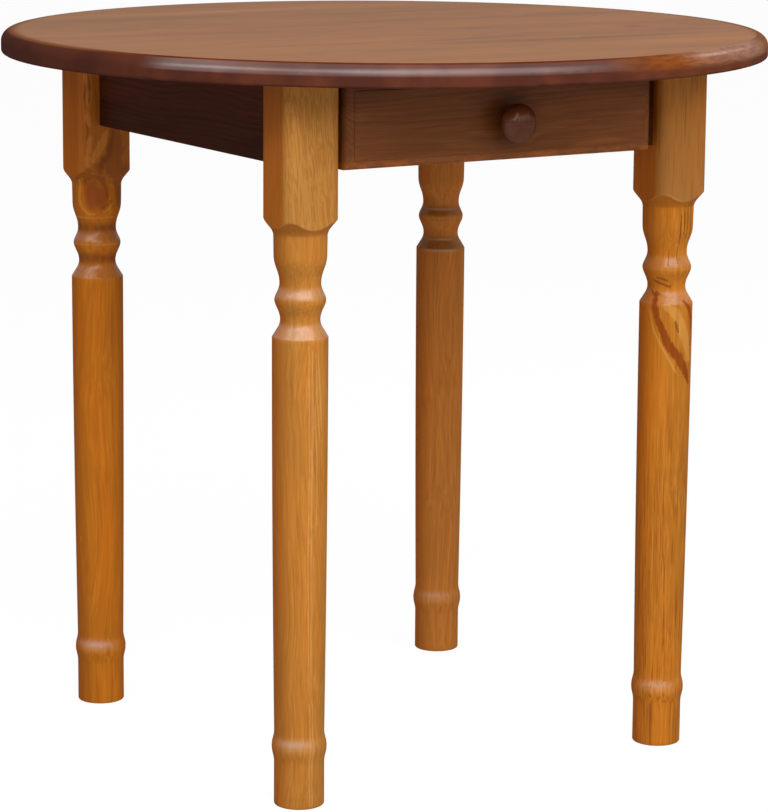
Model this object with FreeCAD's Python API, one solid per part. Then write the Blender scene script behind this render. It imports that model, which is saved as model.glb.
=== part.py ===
import FreeCAD, Part
import math
import os

# Small round tavern table with one drawer. Lengths are in millimetres.
# +Z is up, the drawer faces -Y, +X is on the right of someone who faces the drawer.
# The origin is on the floor, under the middle of the round top.
# The legs, aprons and drawer are worked out about the middle of the frame, and the
# frame is then moved by the two shift values, because it sits a little off the middle.

V = FreeCAD.Vector

# ---- Round top ----
table_height = 750.0
top_diameter = 800.0
top_thickness = 23.0
top_upper_round = 12.0
top_lower_round = 3.0
top_board_count = 6

# ---- Frame ----
leg_spacing = 440.0          # between leg axes, along X and along Y
frame_shift_x = -6.0
frame_shift_y = 4.0

# ---- Legs: the square block ----
leg_square = 60.0
leg_corner_round = 13.0
leg_block_length = 134.0     # from the underside of the top to the start of the turning

# ---- Legs: the turned part, from the block down ----
shoulder_angle = 40.0        # slope of the block's turned shoulder, from the leg's axis
shoulder_overrun = 1.5       # how far past the block's corners the shoulder is turned
shoulder_cove_radius = 16.0
shoulder_cove_end = 12.0     # slope at the cove's foot, where a crease divides it from the vase
vase_top_radius = 26.5
vase_foot_radius = 26.2
vase_length = 19.9
vase_drop = 28.0             # from the vase's foot to the upper neck
upper_neck_radius = 20.4
bead_drop = 16.3             # from the upper neck to the bead
bead_radius = 25.3
lower_neck_drop = 19.4
lower_neck_radius = 19.7
shaft_shoulder_drop = 17.4
shoulder_foot_drop = 4.2     # how far below the neck the shaft's cone would meet the neck's line
cone_share = 0.7             # how much of the way to that point the cone stays straight
shaft_top_radius = 27.7
shaft_middle_radius = 27.55
shaft_foot_radius = 25.1

# ---- Legs: the ring and the foot, from the floor up ----
foot_round = 2.0
foot_radius = 25.2
foot_height = 44.0
ring_radius = 27.5
ring_height = 60.5
shaft_foot_height = 77.0

# ---- Aprons ----
apron_height = 86.0
apron_thickness = 20.0
apron_setback = 19.0         # the apron's face lies this far behind the legs' faces
tenon_length = 20.0
tenon_thickness = 10.0
tenon_lower_shoulder = 10.0
tenon_upper_shoulder = 15.0
tenon_mitre_gap = 1.0
mortise_end_gap = 1.0

# ---- Wooden buttons that hold the top down ----
button_width = 30.0
button_length = 30.0
button_offset = 100.0        # from the middle of an apron to each of its buttons
button_slot_drop = 10.0      # from the apron's top edge down to the button slot
tongue_thickness = 8.0
tongue_length = 8.0
button_slot_depth = 9.0
button_slot_play = 0.5

# ---- Drawer opening and the strips that carry the drawer ----
stile_width = 30.0           # wood left beside the opening in the front apron
rail_below = 13.0
rail_above = 15.0
guide_width = 18.0
guide_height = 20.0
runner_width = 35.0
kicker_width = 28.0
housing_depth = 5.0          # how deep runners and kickers are let into the aprons

# ---- Drawer ----
drawer_seat_gap = 0.3        # between the closed drawer front and the apron
drawer_side_play = 1.0
drawer_top_play = 1.6
running_clearance = 0.4
drawer_back_room = 62.0      # between the closed drawer's back and the back apron
drawer_side_thickness = 12.0
drawer_end_thickness = 12.0
drawer_bottom_thickness = 4.0
groove_depth = 5.0
groove_height = 6.0          # from the lower edge of the drawer's sides to the groove
groove_end_gap = 0.5
groove_overcut = 1.0         # the groove's cutter starts this far outside the wood

# ---- Drawer front, laid over the opening ----
drawer_front_thickness = 18.7
drawer_front_end_gap = 9.0   # to the leg on each side, before the front is shifted
drawer_front_shift = -5.0    # the front is fixed a little to the left of the middle
drawer_front_top_gap = 3.0
drawer_front_drop = 3.0      # how far it hangs below the apron
drawer_front_round = 8.5
drawer_front_step = 1.0      # the raised field inside the rounded edge

# ---- Drawer stop ----
stop_depth = 60.0
stop_width = 40.0
stop_thickness = 12.0
stop_tab_width = 30.0
stop_tab_thickness = 12.0
stop_tab_length = 46.0
stop_tab_top_gap = 5.0

# ---- Knob ----
knob_diameter = 39.0
knob_drop = 4.0              # from the middle of the drawer front down to the knob's axis
knob_projection = 30.0
knob_foot_radius = 10.0
knob_foot_length = 2.5
knob_neck_radius = 7.5
knob_neck_length = 8.0
knob_rim_length = 18.0

# ---- Screws, nails and the knob's bolt ----
screw_radius = 2.0
screw_head_radius = 4.0
screw_head_length = 2.4
screw_tip_length = 4.0
screw_slot_width = 0.8
screw_slot_depth = 1.0
button_screw_length = 31.0
rail_screw_length = 28.0
rail_screw_offset = 90.0
guide_screw_length = 27.0
guide_screw_spacing = 140.0
stop_screw_length = 25.0
stop_screw_margin = 15.0
tab_screw_length = 20.0
tab_screw_margin = 12.0
front_screw_length = 24.0
front_screw_margin = 37.0
joint_margin = 12.0          # from the drawer box's edges to its nails and screws
nail_radius = 1.0
nail_head_radius = 1.8
nail_head_length = 0.6
nail_length = 30.0
nail_tip_length = 2.0
bolt_radius = 2.0
bolt_head_radius = 4.2
bolt_head_length = 2.5
bolt_grip_in_knob = 12.0

# ---- Drawing ----
tolerance = 1e-6             # two edges this near to each other are at the same place
full_reach = 0.42            # how soft the turned curves are at their two ends
bead_reach = 0.30            # less at the bead, which comes to a soft ridge

# ---- Heights and faces that follow from these ----
leg_top = table_height - top_thickness
block_end = leg_top - leg_block_length
half_spacing = leg_spacing / 2
apron_face = half_spacing + leg_square / 2 - apron_setback
apron_inner = apron_face - apron_thickness
apron_half_length = half_spacing - leg_square / 2
apron_bottom = leg_top - apron_height
opening_half = apron_half_length - stile_width
opening_low = apron_bottom + rail_below
opening_high = leg_top - rail_above
button_slot_top = leg_top - button_slot_drop
guide_outer = opening_half + guide_width
box_outer = opening_half - drawer_side_play
box_inner = box_outer - drawer_side_thickness
box_low = opening_low + running_clearance
box_high = opening_high - drawer_top_play
box_front_y = -apron_face - drawer_seat_gap
box_back_y = apron_inner - drawer_back_room
bottom_low = box_low + groove_height
bottom_high = bottom_low + drawer_bottom_thickness
joint_low = bottom_high + joint_margin
joint_high = box_high - joint_margin
front_half = apron_half_length - drawer_front_end_gap
front_left = drawer_front_shift - front_half
front_right = drawer_front_shift + front_half
front_low = apron_bottom - drawer_front_drop
front_high = leg_top - drawer_front_top_gap
knob_height = (front_low + front_high) / 2 - knob_drop
frame_shift = V(frame_shift_x, frame_shift_y, 0)

LEG_PLACES = {
    "leg_front_left": (-1, -1),
    "leg_front_right": (1, -1),
    "leg_back_left": (-1, 1),
    "leg_back_right": (1, 1),
}
APRON_TURNS = {"front": 0, "right": 90, "back": 180, "left": -90}
SIDES = {"left": -1, "right": 1}


# ---------------------------------------------------------------- helpers

def block(x, y, z):
    """A rectangular solid between two X, two Y and two Z values, given in any order."""
    low = V(min(x), min(y), min(z))
    return Part.makeBox(max(x) - low.x, max(y) - low.y, max(z) - low.z, low)


def prism(points, low, high):
    """An upright prism over a plan outline of (x, y) points."""
    corners = [V(x, y, low) for x, y in points]
    face = Part.Face(Part.makePolygon(corners + corners[:1]))
    return face.extrude(V(0, 0, high - low))


def turned_about_frame(shape, angle):
    """The shape turned about the upright axis through the middle of the frame."""
    copy = shape.copy()
    copy.rotate(V(0, 0, 0), V(0, 0, 1), angle)
    return copy


def aimed(shape, place, direction):
    """A shape drawn along +Z, moved to place and pointed along direction."""
    copy = shape.copy()
    turn = FreeCAD.Rotation(V(0, 0, 1), direction)
    copy.Placement = FreeCAD.Placement(place, turn)
    return copy


def group(solids):
    """Several separate solids that share one node."""
    return Part.makeCompound(solids)


class Outline:
    """Half section of a turned piece: r is the radius and z runs along the axis."""

    def __init__(self, r, z):
        self.edges = []
        self.start = V(r, 0, z)
        self.at = self.start

    def line(self, r, z):
        end = V(r, 0, z)
        self.edges.append(Part.LineSegment(self.at, end).toShape())
        self.at = end

    def arc(self, middle, end):
        middle = V(middle[0], 0, middle[1])
        end = V(end[0], 0, end[1])
        self.edges.append(Part.Arc(self.at, middle, end).toShape())
        self.at = end

    def bezier(self, *poles):
        curve = Part.BezierCurve()
        curve.setPoles([self.at] + [V(r, 0, z) for r, z in poles])
        self.edges.append(curve.toShape())
        self.at = V(poles[-1][0], 0, poles[-1][1])

    def swell(self, r, z, leave=full_reach, arrive=full_reach):
        """A smooth step that leaves and arrives parallel to the axis."""
        rise = z - self.at.z
        self.bezier((self.at.x, self.at.z + leave * rise), (r, z - arrive * rise), (r, z))

    def turn(self):
        self.line(self.start.x, self.start.z)
        face = Part.Face(Part.Wire(self.edges))
        return face.revolve(V(0, 0, 0), V(0, 0, 1), 360)


def screw(length, slotted=True):
    """A countersunk wood screw along +Z, its head's flat face at z = 0."""
    outline = Outline(0, 0)
    outline.line(screw_head_radius, 0)
    outline.line(screw_radius, screw_head_length)
    outline.line(screw_radius, length - screw_tip_length)
    outline.line(0, length)
    solid = outline.turn()
    if not slotted:
        return solid
    half_width = screw_slot_width / 2
    reach = screw_head_radius
    slot = block((-reach, reach), (-half_width, half_width), (0, screw_slot_depth))
    return solid.cut(slot)


def screw_row(length, places, direction):
    """Screws at some places and the holes that they make in the wood."""
    screws = [aimed(screw(length), place, direction) for place in places]
    holes = [aimed(screw(length, False), place, direction) for place in places]
    return screws, holes


def nail(length):
    """A flat-headed nail along +Z, its head's face at z = 0."""
    outline = Outline(0, 0)
    outline.line(nail_head_radius, 0)
    outline.line(nail_head_radius, nail_head_length)
    outline.line(nail_radius, nail_head_length)
    outline.line(nail_radius, length - nail_tip_length)
    outline.line(0, length)
    return outline.turn()


# ---------------------------------------------------------------- legs

def leg_turning():
    """The turned body of a leg, wider than the block where the block stays square."""
    corner_reach = (leg_square / 2 - leg_corner_round) * math.sqrt(2) + leg_corner_round
    outer = corner_reach + shoulder_overrun
    slope = math.radians(shoulder_angle)
    slope_end = math.radians(shoulder_cove_end)
    slope_middle = (slope + slope_end) / 2
    cove = shoulder_cove_radius
    cove_centre_radius = vase_top_radius + cove * math.cos(slope_end)
    cove_top_radius = cove_centre_radius - cove * math.cos(slope)
    cove_top = block_end - (outer - cove_top_radius) / math.tan(slope)
    cove_centre = cove_top - cove * math.sin(slope)
    vase_top = cove_centre + cove * math.sin(slope_end)
    cove_middle = (
        cove_centre_radius - cove * math.cos(slope_middle),
        cove_centre + cove * math.sin(slope_middle),
    )
    vase_foot = vase_top - vase_length
    upper_neck = vase_foot - vase_drop
    bead = upper_neck - bead_drop
    lower_neck = bead - lower_neck_drop
    shaft_top = lower_neck - shaft_shoulder_drop
    shaft_middle = (shaft_top + shaft_foot_height) / 2
    cone_end = (
        shaft_top_radius + cone_share * (lower_neck_radius - shaft_top_radius),
        shaft_top + cone_share * (shaft_shoulder_drop - shoulder_foot_drop),
    )
    round_middle = foot_round * (1 - math.sqrt(0.5))

    leg = Outline(0, 0)
    leg.line(foot_radius - foot_round, 0)
    leg.arc((foot_radius - round_middle, round_middle), (foot_radius, foot_round))
    leg.line(foot_radius, foot_height)
    leg.swell(ring_radius, ring_height)
    leg.swell(shaft_foot_radius, shaft_foot_height)
    leg.bezier((shaft_middle_radius, shaft_middle), (shaft_top_radius, shaft_top))
    leg.line(*cone_end)
    leg.bezier((lower_neck_radius, lower_neck - shoulder_foot_drop), (lower_neck_radius, lower_neck))
    leg.swell(bead_radius, bead, arrive=bead_reach)
    leg.swell(upper_neck_radius, upper_neck, leave=bead_reach)
    leg.swell(vase_foot_radius, vase_foot)
    leg.line(vase_top_radius, vase_top)
    leg.arc(cove_middle, (cove_top_radius, cove_top))
    leg.line(outer, block_end)
    leg.line(outer, leg_top)
    leg.line(0, leg_top)
    return leg.turn()


def leg_blank():
    """The square length of wood, its four long corners rounded, that a leg is turned from."""
    half = leg_square / 2
    blank = block((-half, half), (-half, half), (0, leg_top))
    long_edges = [edge for edge in blank.Edges if edge.BoundBox.ZLength > leg_top / 2]
    return blank.makeFillet(leg_corner_round, long_edges)


def legs(mortises):
    plain = leg_turning().common(leg_blank())
    pieces = {}
    for name, (side_x, side_y) in LEG_PLACES.items():
        leg = plain.copy()
        leg.translate(V(side_x * half_spacing, side_y * half_spacing, 0))
        pieces[name] = leg.cut(mortises)
    return pieces


# ---------------------------------------------------------------- aprons

def tenons(extra):
    """The two tenons of the front apron, made longer by extra, mitred where they would meet."""
    middle = apron_face - apron_thickness / 2
    inner = middle - tenon_thickness / 2
    outer = middle + tenon_thickness / 2
    low = apron_bottom + tenon_lower_shoulder
    high = leg_top - tenon_upper_shoulder
    root = apron_half_length
    inner_end = min(root + tenon_length, inner - tenon_mitre_gap) + extra
    outer_end = min(root + tenon_length, outer - tenon_mitre_gap) + extra
    solids = []
    for side in SIDES.values():
        plan = [
            (side * root, -inner),
            (side * inner_end, -inner),
            (side * outer_end, -outer),
            (side * root, -outer),
        ]
        solids.append(prism(plan, low, high))
    return solids


def all_mortises():
    cutters = []
    for angle in APRON_TURNS.values():
        for tenon in tenons(mortise_end_gap):
            cutters.append(turned_about_frame(tenon, angle))
    return cutters


def plain_apron():
    """An apron in the front's place, with its tenons."""
    half = apron_half_length
    board = block((-half, half), (-apron_face, -apron_inner), (apron_bottom, leg_top))
    return board.fuse(tenons(0)).removeSplitter()


def button_slots():
    """Slots in the inner face of an apron in the front's place."""
    half = button_width / 2 + button_slot_play
    low = button_slot_top - tongue_thickness - button_slot_play
    depth = (-apron_inner - button_slot_depth, -apron_inner)
    slots = []
    for side in SIDES.values():
        middle = side * button_offset
        slots.append(block((middle - half, middle + half), depth, (low, button_slot_top)))
    return slots


def front_apron(housings, holes):
    opening = block(
        (-opening_half, opening_half),
        (-apron_face, -apron_inner),
        (opening_low, opening_high),
    )
    return plain_apron().cut([opening] + housings + holes)


def side_apron(name):
    return turned_about_frame(plain_apron().cut(button_slots()), APRON_TURNS[name])


def back_apron(housings):
    apron = turned_about_frame(plain_apron().cut(button_slots()), APRON_TURNS["back"])
    return apron.cut(housings)


# ---------------------------------------------------------------- top and its buttons

def top_disc():
    radius = top_diameter / 2
    upper = top_upper_round
    lower = top_lower_round
    bend = 1 - math.sqrt(0.5)
    disc = Outline(0, leg_top)
    disc.line(radius - lower, leg_top)
    disc.arc((radius - lower * bend, leg_top + lower * bend), (radius, leg_top + lower))
    disc.line(radius, table_height - upper)
    disc.arc((radius - upper * bend, table_height - upper * bend), (radius - upper, table_height))
    disc.line(0, table_height)
    return disc.turn()


def top_boards(holes):
    """The disc as boards that run along X, with the screw holes in their underside."""
    radius = top_diameter / 2
    width = top_diameter / top_board_count
    disc = top_disc()
    boards = {}
    for index in range(top_board_count):
        low = -radius + index * width
        strip = block((-radius, radius), (low, low + width), (leg_top, table_height))
        boards["top_board_%d" % (index + 1)] = disc.common(strip).cut(holes)
    return boards


def table_button():
    """A wooden button in the front apron's place: a body under the top and a tongue."""
    half = button_width / 2
    low = button_slot_top - tongue_thickness
    body = block((-half, half), (-apron_inner, -apron_inner + button_length), (low, leg_top))
    tongue = block(
        (-half, half),
        (-apron_inner - tongue_length, -apron_inner),
        (low, button_slot_top),
    )
    return body.fuse(tongue).removeSplitter()


def buttons():
    """Two buttons on each apron but the front one, their screws and the screws' holes."""
    low = button_slot_top - tongue_thickness
    solids = []
    screws = []
    holes = []
    for name in ("left", "back", "right"):
        angle = APRON_TURNS[name]
        for side in SIDES.values():
            button = table_button()
            button.translate(V(side * button_offset, 0, 0))
            place = V(side * button_offset, -apron_inner + button_length / 2, low)
            fixing, hole = screw_row(button_screw_length, [place], V(0, 0, 1))
            solids.append(turned_about_frame(button.cut(hole), angle))
            screws.append(turned_about_frame(fixing[0], angle))
            holes.append(turned_about_frame(hole[0], angle))
    return solids, screws, holes


# ---------------------------------------------------------------- strips round the drawer

def runner(side):
    """Carries the drawer's side; its ends are housed in the front and back aprons."""
    reach = apron_inner + housing_depth
    width = (side * guide_outer, side * (guide_outer - runner_width))
    return block(width, (-reach, reach), (apron_bottom, opening_low))


def guide(side):
    """Stands on the runner beside the drawer and keeps it straight."""
    width = (side * opening_half, side * guide_outer)
    return block(width, (-apron_inner, apron_inner), (opening_low, opening_low + guide_height))


def kicker(side):
    """Lies over the drawer's side, so that the open drawer can't tip."""
    middle = side * (box_outer + box_inner) / 2
    half = kicker_width / 2
    reach = apron_inner + housing_depth
    return block((middle - half, middle + half), (-reach, reach), (opening_high, leg_top))


def guide_screw_places(side):
    middle = side * (opening_half + guide_outer) / 2
    return [V(middle, step * guide_screw_spacing, apron_bottom) for step in (-1, 0, 1)]


def stop_block():
    """Hangs under the top behind the front apron; the drawer's tab meets it."""
    half = stop_width / 2
    low = leg_top - stop_thickness
    return block((-half, half), (-apron_inner, -apron_inner + stop_depth), (low, leg_top))


def stop_screw_places():
    low = leg_top - stop_thickness
    front = -apron_inner + stop_screw_margin
    back = -apron_inner + stop_depth - stop_screw_margin
    return [V(0, front, low), V(0, back, low)]


# ---------------------------------------------------------------- drawer

def drawer_box_side(side):
    """A drawer side, grooved for the bottom."""
    board = block((side * box_inner, side * box_outer), (box_front_y, box_back_y), (box_low, box_high))
    groove = block(
        (side * (box_inner - groove_overcut), side * (box_inner + groove_depth)),
        (
            box_front_y + drawer_end_thickness - groove_depth,
            box_back_y - drawer_end_thickness + groove_depth,
        ),
        (bottom_low, bottom_high),
    )
    return board.cut(groove)


def drawer_box_end(outer_y, inner_y):
    """The drawer box's front or back, between its sides, grooved for the bottom."""
    board = block((-box_inner, box_inner), (outer_y, inner_y), (box_low, box_high))
    inward = math.copysign(1, inner_y - outer_y)
    groove = block(
        (-box_inner, box_inner),
        (inner_y - inward * groove_depth, inner_y + inward * groove_overcut),
        (bottom_low, bottom_high),
    )
    return board.cut(groove)


def drawer_bottom():
    tongue = groove_depth - groove_end_gap
    half = box_inner + tongue
    front = box_front_y + drawer_end_thickness - tongue
    back = box_back_y - drawer_end_thickness + tongue
    return block((-half, half), (front, back), (bottom_low, bottom_high))


def overlay_front():
    """The drawer's front board: rounded all round, with a field raised inside the round."""
    edge = drawer_front_round
    step = drawer_front_step
    face_y = box_front_y - drawer_front_thickness
    board = block((front_left, front_right), (box_front_y, face_y + step), (front_low, front_high))
    front_edges = [
        e for e in board.Edges
        if abs(e.BoundBox.YMax - face_y - step) < tolerance
    ]
    board = board.makeFillet(edge, front_edges)
    inset = edge + step / 2
    field = block(
        (front_left + inset, front_right - inset),
        (face_y, face_y + step),
        (front_low + inset, front_high - inset),
    )
    return board.fuse(field).removeSplitter()


def knob():
    """A turned knob along +Z from its foot, before it is pointed to the front."""
    rim = knob_diameter / 2
    head = knob_rim_length - knob_neck_length
    dome = knob_projection - knob_rim_length
    outline = Outline(0, 0)
    outline.line(knob_foot_radius, 0)
    outline.line(knob_foot_radius, knob_foot_length)
    outline.swell(knob_neck_radius, knob_neck_length)
    outline.bezier(
        (knob_neck_radius, knob_neck_length + 0.35 * head),
        (rim, knob_neck_length + 0.25 * head),
        (rim, knob_rim_length),
    )
    outline.bezier(
        (rim, knob_rim_length + 0.62 * dome),
        (0.6 * rim, knob_projection),
        (0, knob_projection),
    )
    return outline.turn()


def knob_bolt():
    """A pan-headed bolt along +Z from under its head."""
    grip = drawer_end_thickness + drawer_front_thickness + bolt_grip_in_knob
    head = Part.makeCylinder(bolt_head_radius, bolt_head_length, V(0, 0, -bolt_head_length))
    head = head.makeFillet(bolt_head_length / 2, [head.Edges[2]])
    return head.fuse(Part.makeCylinder(bolt_radius, grip)).removeSplitter()


def stop_tab():
    """A strip on the back of the drawer that stands up behind the stop block."""
    half = stop_tab_width / 2
    high = leg_top - stop_tab_top_gap
    return block(
        (-half, half),
        (box_back_y, box_back_y + stop_tab_thickness),
        (high - stop_tab_length, high),
    )


def tab_screw_places():
    face = box_back_y + stop_tab_thickness
    low = leg_top - stop_tab_top_gap - stop_tab_length
    return [V(0, face, low + tab_screw_margin), V(0, face, box_high - tab_screw_margin)]


def front_screw_places():
    across = box_inner - front_screw_margin
    inner_y = box_front_y + drawer_end_thickness
    return [V(side * across, inner_y, z) for side in (-1, 1) for z in (joint_low, joint_high)]


def box_nails():
    """Nails through the drawer's sides into its two ends."""
    nails = []
    for y in (box_front_y + drawer_end_thickness / 2, box_back_y - drawer_end_thickness / 2):
        for side in SIDES.values():
            for z in (joint_low, joint_high):
                nails.append(aimed(nail(nail_length), V(side * box_outer, y, z), V(-side, 0, 0)))
    return nails


def drawer_pieces():
    pieces = {}
    nails = box_nails()
    front_screws, front_holes = screw_row(front_screw_length, front_screw_places(), V(0, -1, 0))
    tab_screws, tab_holes = screw_row(tab_screw_length, tab_screw_places(), V(0, -1, 0))
    inner_y = box_front_y + drawer_end_thickness
    bolt = aimed(knob_bolt(), V(0, inner_y, knob_height), V(0, -1, 0))
    face = V(0, box_front_y - drawer_front_thickness, knob_height)

    pieces["drawer_front"] = overlay_front().cut(front_holes + [bolt])
    pieces["drawer_box_front"] = drawer_box_end(box_front_y, inner_y).cut(front_holes + [bolt] + nails)
    back = drawer_box_end(box_back_y, box_back_y - drawer_end_thickness)
    pieces["drawer_back"] = back.cut(nails + tab_holes)
    for name, side in SIDES.items():
        pieces["drawer_side_" + name] = drawer_box_side(side).cut(nails)
    pieces["drawer_bottom"] = drawer_bottom()
    pieces["drawer_knob"] = aimed(knob(), face, V(0, -1, 0)).cut(bolt)
    pieces["drawer_knob_bolt"] = bolt
    pieces["drawer_front_screws"] = group(front_screws)
    pieces["drawer_box_nails"] = group(nails)
    pieces["drawer_stop_tab"] = stop_tab().cut(tab_holes)
    pieces["drawer_tab_screws"] = group(tab_screws)
    return pieces


# ---------------------------------------------------------------- the whole table

def frame_pieces():
    """Everything but the top and the drawer, and the screw holes that the top needs."""
    pieces = {}
    strips = []
    guide_screws = []
    for name, side in SIDES.items():
        screws, holes = screw_row(guide_screw_length, guide_screw_places(side), V(0, 0, 1))
        strips += [runner(side), kicker(side)]
        guide_screws += screws
        pieces["drawer_runner_" + name] = runner(side).cut(holes)
        pieces["drawer_guide_" + name] = guide(side).cut(holes)
        pieces["drawer_kicker_" + name] = kicker(side)
    pieces["drawer_guide_screws"] = group(guide_screws)

    button_solids, button_screws, button_holes = buttons()
    pieces["top_buttons"] = group(button_solids)
    pieces["top_button_screws"] = group(button_screws)

    rail_middle = -apron_face + apron_thickness / 2
    rail_places = [V(side * rail_screw_offset, rail_middle, opening_high) for side in (-1, 1)]
    rail_screws, rail_holes = screw_row(rail_screw_length, rail_places, V(0, 0, 1))
    pieces["top_front_screws"] = group(rail_screws)

    stop_screws, stop_holes = screw_row(stop_screw_length, stop_screw_places(), V(0, 0, 1))
    pieces["drawer_stop"] = stop_block().cut(stop_holes)
    pieces["drawer_stop_screws"] = group(stop_screws)

    pieces["apron_front"] = front_apron(strips, rail_holes)
    pieces["apron_back"] = back_apron(strips)
    pieces["apron_left"] = side_apron("left")
    pieces["apron_right"] = side_apron("right")
    pieces.update(legs(all_mortises()))
    return pieces, button_holes + rail_holes + stop_holes


def main():
    os.makedirs("parts", exist_ok=True)
    pieces, top_holes = frame_pieces()
    pieces.update(drawer_pieces())
    for shape in pieces.values():
        shape.translate(frame_shift)
    for hole in top_holes:
        hole.translate(frame_shift)
    pieces.update(top_boards(top_holes))
    for name, shape in pieces.items():
        shape.exportStep("parts/%s.step" % name)
        print("%-22s solids %2d  volume %9.0f" % (name, len(shape.Solids), shape.Volume))
    stop_rear = -apron_inner + stop_depth
    print("drawer travel", box_back_y - stop_rear)


main()
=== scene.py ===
# %% [markdown]
# # A small round tavern table
# The table is softwood under varnish: a round top, four turned legs, dark aprons and one
# drawer with a turned knob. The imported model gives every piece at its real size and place.
# This script gives the pieces their finish, makes anew the ones whose surface needs more care
# than flat facets can give, and sets up the light and the camera.

# %% Load the frame
import math

import bpy
import numpy as np
from mathutils import Matrix, Vector


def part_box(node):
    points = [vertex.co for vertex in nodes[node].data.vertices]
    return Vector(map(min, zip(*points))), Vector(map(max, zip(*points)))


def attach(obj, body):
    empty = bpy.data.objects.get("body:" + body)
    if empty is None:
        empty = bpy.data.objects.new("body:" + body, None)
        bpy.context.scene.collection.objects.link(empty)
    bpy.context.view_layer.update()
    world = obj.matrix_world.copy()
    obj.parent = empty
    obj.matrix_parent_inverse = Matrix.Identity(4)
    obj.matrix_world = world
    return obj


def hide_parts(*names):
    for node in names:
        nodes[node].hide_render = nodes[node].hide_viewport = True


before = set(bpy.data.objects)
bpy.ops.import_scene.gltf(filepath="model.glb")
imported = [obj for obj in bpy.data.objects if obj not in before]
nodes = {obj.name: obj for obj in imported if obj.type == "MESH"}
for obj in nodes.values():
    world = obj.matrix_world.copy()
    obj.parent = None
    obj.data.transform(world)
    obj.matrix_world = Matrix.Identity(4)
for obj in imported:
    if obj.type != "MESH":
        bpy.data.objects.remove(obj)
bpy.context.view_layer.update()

# %% [markdown]
# ## Camera
# The camera stands in front of the table and to its left, a little above the top, with a
# long lens, so that the upright legs stay nearly parallel. Its turn is built from three
# angles in the order that a tripod has them: pan, tilt and a slight roll.

# %% Camera
CAMERA_PLACE = Vector((-1.8626, -3.0508, 1.0476))
CAMERA_PAN = math.radians(31.44)
CAMERA_TILT = math.radians(11.09)
CAMERA_ROLL = math.radians(-0.424)
LENS_MM = 150.84
SENSOR_MM = 36.0
FAR_CLIP = 60.0


def camera_axes(pan, tilt, roll):
    """Right, up and backward directions of a camera panned from +Y towards +X and tilted down."""
    ahead = Vector((math.sin(pan) * math.cos(tilt), math.cos(pan) * math.cos(tilt), -math.sin(tilt)))
    right = Vector((math.cos(pan), -math.sin(pan), 0.0))
    down = ahead.cross(right)
    rolled_right = right * math.cos(roll) + down * math.sin(roll)
    rolled_down = down * math.cos(roll) - right * math.sin(roll)
    return rolled_right, -rolled_down, -ahead


def make_camera():
    """Links a camera with its place and turn, and makes it the scene's own."""
    data = bpy.data.cameras.new("camera")
    data.lens = LENS_MM
    data.sensor_width = SENSOR_MM
    data.clip_end = FAR_CLIP
    camera = bpy.data.objects.new("camera", data)
    turn = Matrix(camera_axes(CAMERA_PAN, CAMERA_TILT, CAMERA_ROLL)).transposed().to_4x4()
    camera.matrix_world = Matrix.Translation(CAMERA_PLACE) @ turn
    bpy.context.scene.collection.objects.link(camera)
    bpy.context.scene.camera = camera


make_camera()
print("camera:", LENS_MM, "mm lens,", round(CAMERA_PLACE.length, 2), "m from the table's foot")

# %% [markdown]
# ## Building shader trees
# The sky, the floor and every wood finish are trees of small nodes. They could be wired by
# hand in the editor, but a script can build one tree a dozen times with other values. A few
# helpers keep that readable: one makes a node and fills its inputs, some do arithmetic, one
# maps a range, and one mixes two colours.

# %% Helpers: nodes and arithmetic
WHITE = (1.0, 1.0, 1.0)
PRINCIPLED = "Principled BSDF"


def feed(tree, socket, value):
    """Wires a socket from another node's output, or sets it to a number, vector or colour."""
    if isinstance(value, bpy.types.NodeSocket):
        tree.links.new(value, socket)
    elif socket.type == "RGBA":
        socket.default_value = (*value, 1.0)
    else:
        socket.default_value = value


def add_node(tree, kind, group=None, **values):
    """Makes a node or places a group; a keyword such as ring_width feeds 'Ring Width'."""
    node = tree.nodes.new(kind)
    if group:
        node.node_tree = group
    for key, value in values.items():
        feed(tree, node.inputs[key.replace("_", " ").title()], value)
    return node


def calc(tree, operation, *values, clamp=False):
    """One Math node; values are numbers or sockets."""
    node = tree.nodes.new("ShaderNodeMath")
    node.operation = operation
    node.use_clamp = clamp
    for socket, value in zip(node.inputs, values):
        feed(tree, socket, value)
    return node.outputs[0]


def times(tree, first, *others, clamp=False):
    """The product of numbers or sockets, from the left."""
    for value in others:
        first = calc(tree, "MULTIPLY", first, value, clamp=clamp)
    return first


def plus(tree, first, *others, clamp=False):
    """The sum of numbers or sockets, from the left."""
    for value in others:
        first = calc(tree, "ADD", first, value, clamp=clamp)
    return first


def less(tree, first, second):
    """first - second."""
    return calc(tree, "SUBTRACT", first, second)


def soft_hill(tree, distance, steepness=1.0):
    """exp of minus the steepness times the squared distance: 1 at 0, near 0 far away."""
    return calc(tree, "EXPONENT", times(tree, distance, distance, -steepness))


# %% Helpers: vectors and ranges


def vector_calc(tree, operation, *values):
    """One Vector Math node; a length comes out as a value, anything else as a vector."""
    node = tree.nodes.new("ShaderNodeVectorMath")
    node.operation = operation
    for socket, value in zip(node.inputs, values):
        feed(tree, socket, value)
    return node.outputs["Value" if operation == "LENGTH" else "Vector"]


def length_of(tree, vector, stretch):
    """Length of the vector after each axis is multiplied by its own stretch."""
    return vector_calc(tree, "LENGTH", vector_calc(tree, "MULTIPLY", vector, stretch))


def parts_of(tree, vector):
    """The vector's X, Y and Z."""
    return add_node(tree, "ShaderNodeSeparateXYZ", vector=vector).outputs


def object_place(tree):
    """Object coordinates, which stay with the piece."""
    return tree.nodes.new("ShaderNodeTexCoord").outputs["Object"]


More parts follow.
